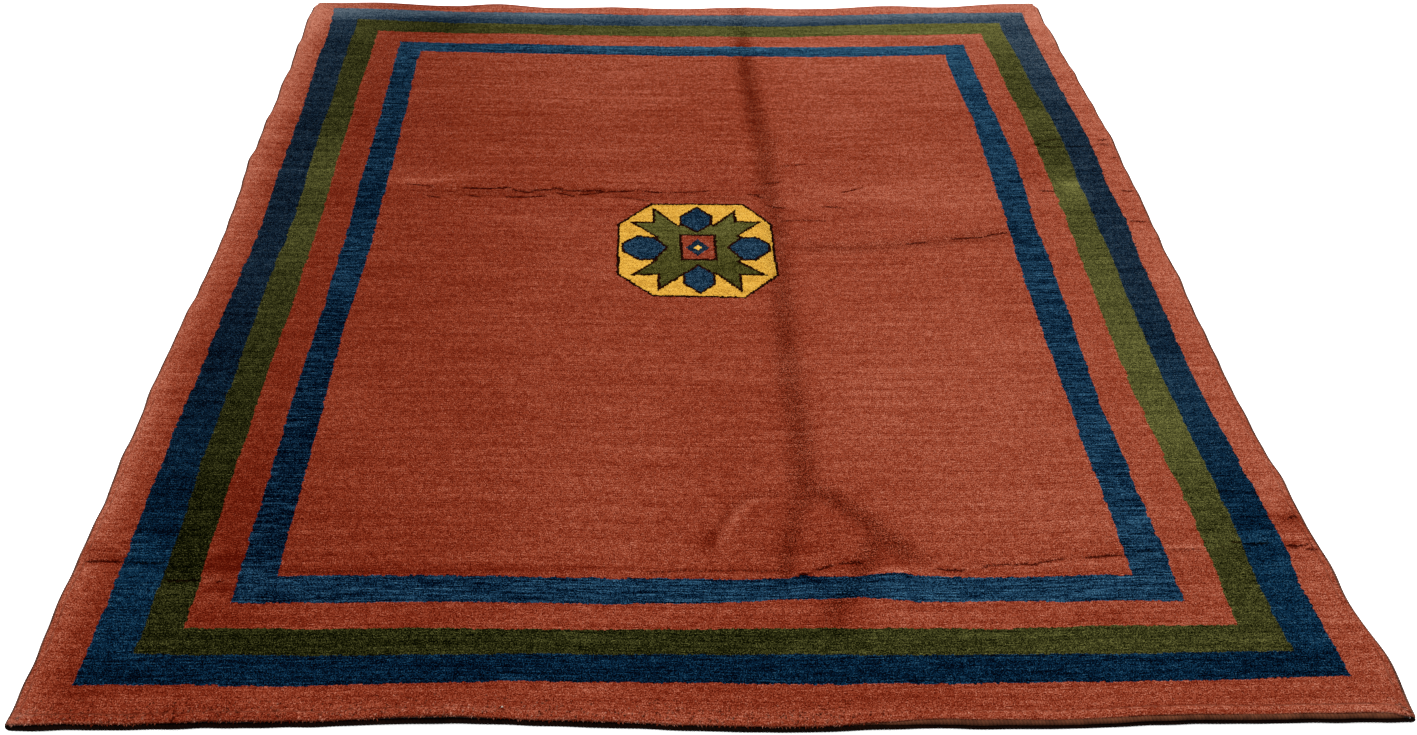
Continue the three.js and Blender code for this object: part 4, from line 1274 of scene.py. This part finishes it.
def read_along(places, walked, rows):
    """Rows of values at places along a line, between the points where they are given."""
    return np.column_stack([np.interp(places, walked, column) for column in rows.T])


def swept_cord(name, material, stations, inset, up, kept, form, sides, step):
    """A cord along stations of the outline, of a form's radius, closed at both ends."""
    flat = OUTLINE[stations] + INWARD[stations] * np.reshape(inset, (-1, 1))
    centre = np.column_stack([flat, LOOP_LIFT[stations] * kept + up])
    walked = walk(centre)
    places = np.arange(0, walked[-1], step)
    path = read_along(places, walked, centre)
    side = unit(read_along(places, walked, INWARD[stations]))
    angle = 2 * np.pi * np.arange(sides) / sides
    radius, turn = form(places[:, None], angle)
    tip = np.clip(np.minimum(places, places[-1] - places) / TIP_LENGTH, 0, 1)
    radius = radius * np.sqrt(TIP_SHARE + (1 - TIP_SHARE) * (1 - (1 - tip) ** 2))[:, None]
    across = path[:, None, :2] - side[:, None] * (radius * np.cos(angle))[..., None]
    height = path[:, 2:] + radius * np.sin(angle)
    points = np.concatenate([across, height[..., None]], -1)
    index = np.arange(radius.size).reshape(radius.shape)
    tube = quads(np.column_stack([index, index[:, 0]])).tolist()
    faces = [*tube, index[0][::-1].tolist(), index[-1].tolist()]
    cord = make_object(name, points.reshape(-1, 3), faces, [material])
    set_values(cord, "turn", np.broadcast_to(turn, radius.shape).reshape(-1))
    return cord


def make_edges(dark_yarn, hem_yarn):
    """The two overcast cords, the near hem's edge and band, and the far hem."""
    left = np.append(0, STATION[FAR_LEFT:][::-1])
    right = STATION[NEAR_RIGHT : FAR_RIGHT + 1]
    near = np.concatenate([STATION[-CORNER_STATIONS:], STATION[: NEAR_RIGHT + CORNER_STATIONS]])
    band = STATION[(STATION < NEAR_RIGHT - 2) & (OUTLINE[:, 0] > BAND_START)]
    far = STATION[FAR_RIGHT + 1 : FAR_LEFT]
    bare, band_bare = LOOP_BARE[near], LOOP_BARE[band]
    near_in, near_up = NEAR_IN - NEAR_OUT * bare, near_hem_radius(OUTLINE[near, 0], bare)
    band_in, band_up = BAND_IN + BAND_DEEPER * (1 - band_bare), BAND_UP + BAND_RISE * band_bare
    half = CORD / 2
    # name, wool, stations, inward, up, share of the lift, form, sides, step
    cords = [
        ("selvedge_left_overcast", dark_yarn, left, half - LEFT_OUT, half, 1, overcast, 10, 0.8),
        ("selvedge_right_overcast", dark_yarn, right, half - RIGHT_OUT, half, 1, overcast, 10, 0.8),
        # the near hem hangs low and near black, standing in for the shadow under the lifted edge
        ("hem_near", hem_yarn, near, near_in, near_up, HANGING, near_hem_rib, 10, 1.0),
        ("hem_near_band", hem_yarn, band, band_in, band_up, BAND_LIFT, near_band_rib, 12, 1.0),
        ("hem_far", hem_yarn, far, FAR_IN, FAR_UP, HANGING, far_hem_rib, 10, 1.0),
    ]
    return [swept_cord(*cord) for cord in cords]


# Tufts
# Rows of tufts: near end only, inward, up, lean outward, length, painted light at the foot,
# middle and tip (shade at the foot, highlight at the tip), and how much painted sheen pales the tips.
TUFT_ROWS = [
    (False, 9.6, 12.6, 0.5, 2.6, (0.9, 1.0, 1.1), 0.3),
    (True, 4.6, 11.6, 1.0, 5.0, (0.1, 0.5, 1.1), 0.7),
    (True, 7.0, 13.0, 0.95, 6.2, (0.2, 1.0, 1.4), 1.0),
    (True, 9.6, 13.7, 0.85, 6.6, (0.2, 1.0, 1.35), 0.9),
    (True, 12.6, 14, 0.75, 6.2, (0.25, 0.95, 1.2), 0.6),
    (True, 16, 14, 0.65, 5.6, (0.4, 0.9, 1.1), 0.4), (True, 20, 14, 0.6, 5.2, (0.5, 0.9, 1.05), 0.3),
    (True, 24.5, 14, 0.6, 4.8, (0.5, 0.9, 1.0), 0.2),
    (True, 29.5, 14, 0.6, 4.6, (0.55, 0.9, 1.0), 0.15), (True, 35, 14, 0.6, 4.4, (0.6, 0.9, 1.0), 0.15),
    (True, 41, 14, 0.6, 4.2, (0.65, 0.9, 1.0), 0.15),
]
TUFT_SEED = 51
TUFT_SPACING = 2.7
TUFT_ROOT = 2.4  # how deep a tuft starts in the pile
TUFT_SIDES, TUFT_TURN = 3, 0.5
TUFT_SHIFT, TUFT_SWAY, TUFT_DROOP = 1.2, 0.9, 0.25  # how far a tuft may differ either way
TUFT_REACHES, TUFT_WIDTHS = (0.45, 1.25), (1.2, 1.9)
TUFT_LIGHTS, NEAR_LIGHTS = (0.85, 1.15), (0.6, 1.3)  # how much light a tuft may keep
TUFT_MIDDLE, TUFT_TIP = 0.55, 0.28  # along a tuft, and how far its tip bends over
BARE_SHORTER = 0.35  # how much shorter the tufts are where the hem shows
NEAR_WIDER = 1.35  # how much wider the near end's tufts are
UP = np.array([0, 0, 1.0])


def make_tufts(wool):
    """Locks of pile that stand out round the rim, as one joined mesh."""
    tufts = PileMesh()
    random = np.random.default_rng(TUFT_SEED)
    walked = walk(closed(OUTLINE))
    rows = closed(np.column_stack([OUTLINE, INWARD, rim_of(CLOTH), LOOP_BARE]))
    for near_only, inward, up, lean, length, lights, tip_sheen in TUFT_ROWS:
        start, end = (0, walked[NEAR_RIGHT]) if near_only else (walked[NEAR_RIGHT], walked[-1])
        number = int((end - start) / TUFT_SPACING)
        each = (number, 1)
        place = start + (np.arange(number) + random.uniform(0, 1, number)) * (end - start) / number
        outline, normal, cloth, bare = np.split(read_along(place, walked, rows), [2, 4, 6], axis=1)
        shift = random.uniform(-TUFT_SHIFT, TUFT_SHIFT, each)
        inset = inward + TUFT_SHIFT + shift + BARE_PULL * bare
        flat = outline + normal * inset
        x, y = flat.T
        base = np.column_stack([flat, lift_at(x, y) - sink_at(x, y) + up - TUFT_ROOT])
        outward = -np.column_stack([normal, 0 * x])
        along = np.column_stack([normal[:, 1], -normal[:, 0], 0 * x])
        sway = random.uniform(-TUFT_SWAY, TUFT_SWAY, each)
        droop = lean + random.uniform(-TUFT_DROOP, TUFT_DROOP, each)
        direction = unit(outward * droop + along * sway + UP * (1.15 - droop))
        reach = length * random.uniform(*TUFT_REACHES, each) * (1 - BARE_SHORTER * bare)
        middle = base + direction * reach * TUFT_MIDDLE
        bend = outward * 0.5 - UP * 0.5 * lean
        tip = base + direction * reach + bend * reach * TUFT_TIP
        width = random.uniform(*TUFT_WIDTHS, each) * (NEAR_WIDER if near_only else 1)
        keeps = random.uniform(*(NEAR_LIGHTS if near_only else TUFT_LIGHTS), each)
        foot_light, middle_light, tip_light = (keeps * lights).T
        tuft_sheen = random.uniform(0.0, tip_sheen, each)

        across = unit(np.cross(direction, UP))
        upright = np.cross(across, direction)
        low, high = [], []
        for side in range(TUFT_SIDES):
            angle = 2 * np.pi * side / TUFT_SIDES + TUFT_TURN
            offset = (across * math.cos(angle) + upright * math.sin(angle)) * width
            low.append(tufts.add(base + offset, cloth, foot_light, 0 * tuft_sheen))
            high.append(tufts.add(middle + offset * 0.85, cloth, middle_light, 0.5 * tuft_sheen))
        top = tufts.add(tip, cloth, tip_light, tuft_sheen)
        for side in range(TUFT_SIDES):
            after = (side + 1) % TUFT_SIDES
            tufts.join(np.stack([low[side], low[after], high[after], high[side]], -1))
            tufts.join(np.stack([high[side], high[after], top], -1))
    return tufts.finish("edge_tufts", [wool])


# The whole
make_camera()
make_lights()
make_floor()

pile_wool = pile_material("wool pile", stripes=True, medallion=False)
field_wool = pile_material("wool pile with the medallion", stripes=False, medallion=True)
back_wool = back_material()
dark_yarn = yarn_material("overcast wool", *OVERCAST_WOOL)
hem_yarn = yarn_material("brown hem wool", *HEM_WOOL)

rug = make_rug(pile_wool, back_wool, field_wool)
left_edge, right_edge, *hems = make_edges(dark_yarn, hem_yarn)
tufts = make_tufts(pile_wool)

for piece in (rug, left_edge, right_edge, *hems, tufts):
    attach(piece, "root")
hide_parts("rug")
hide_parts("selvedge_left")
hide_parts("selvedge_right")
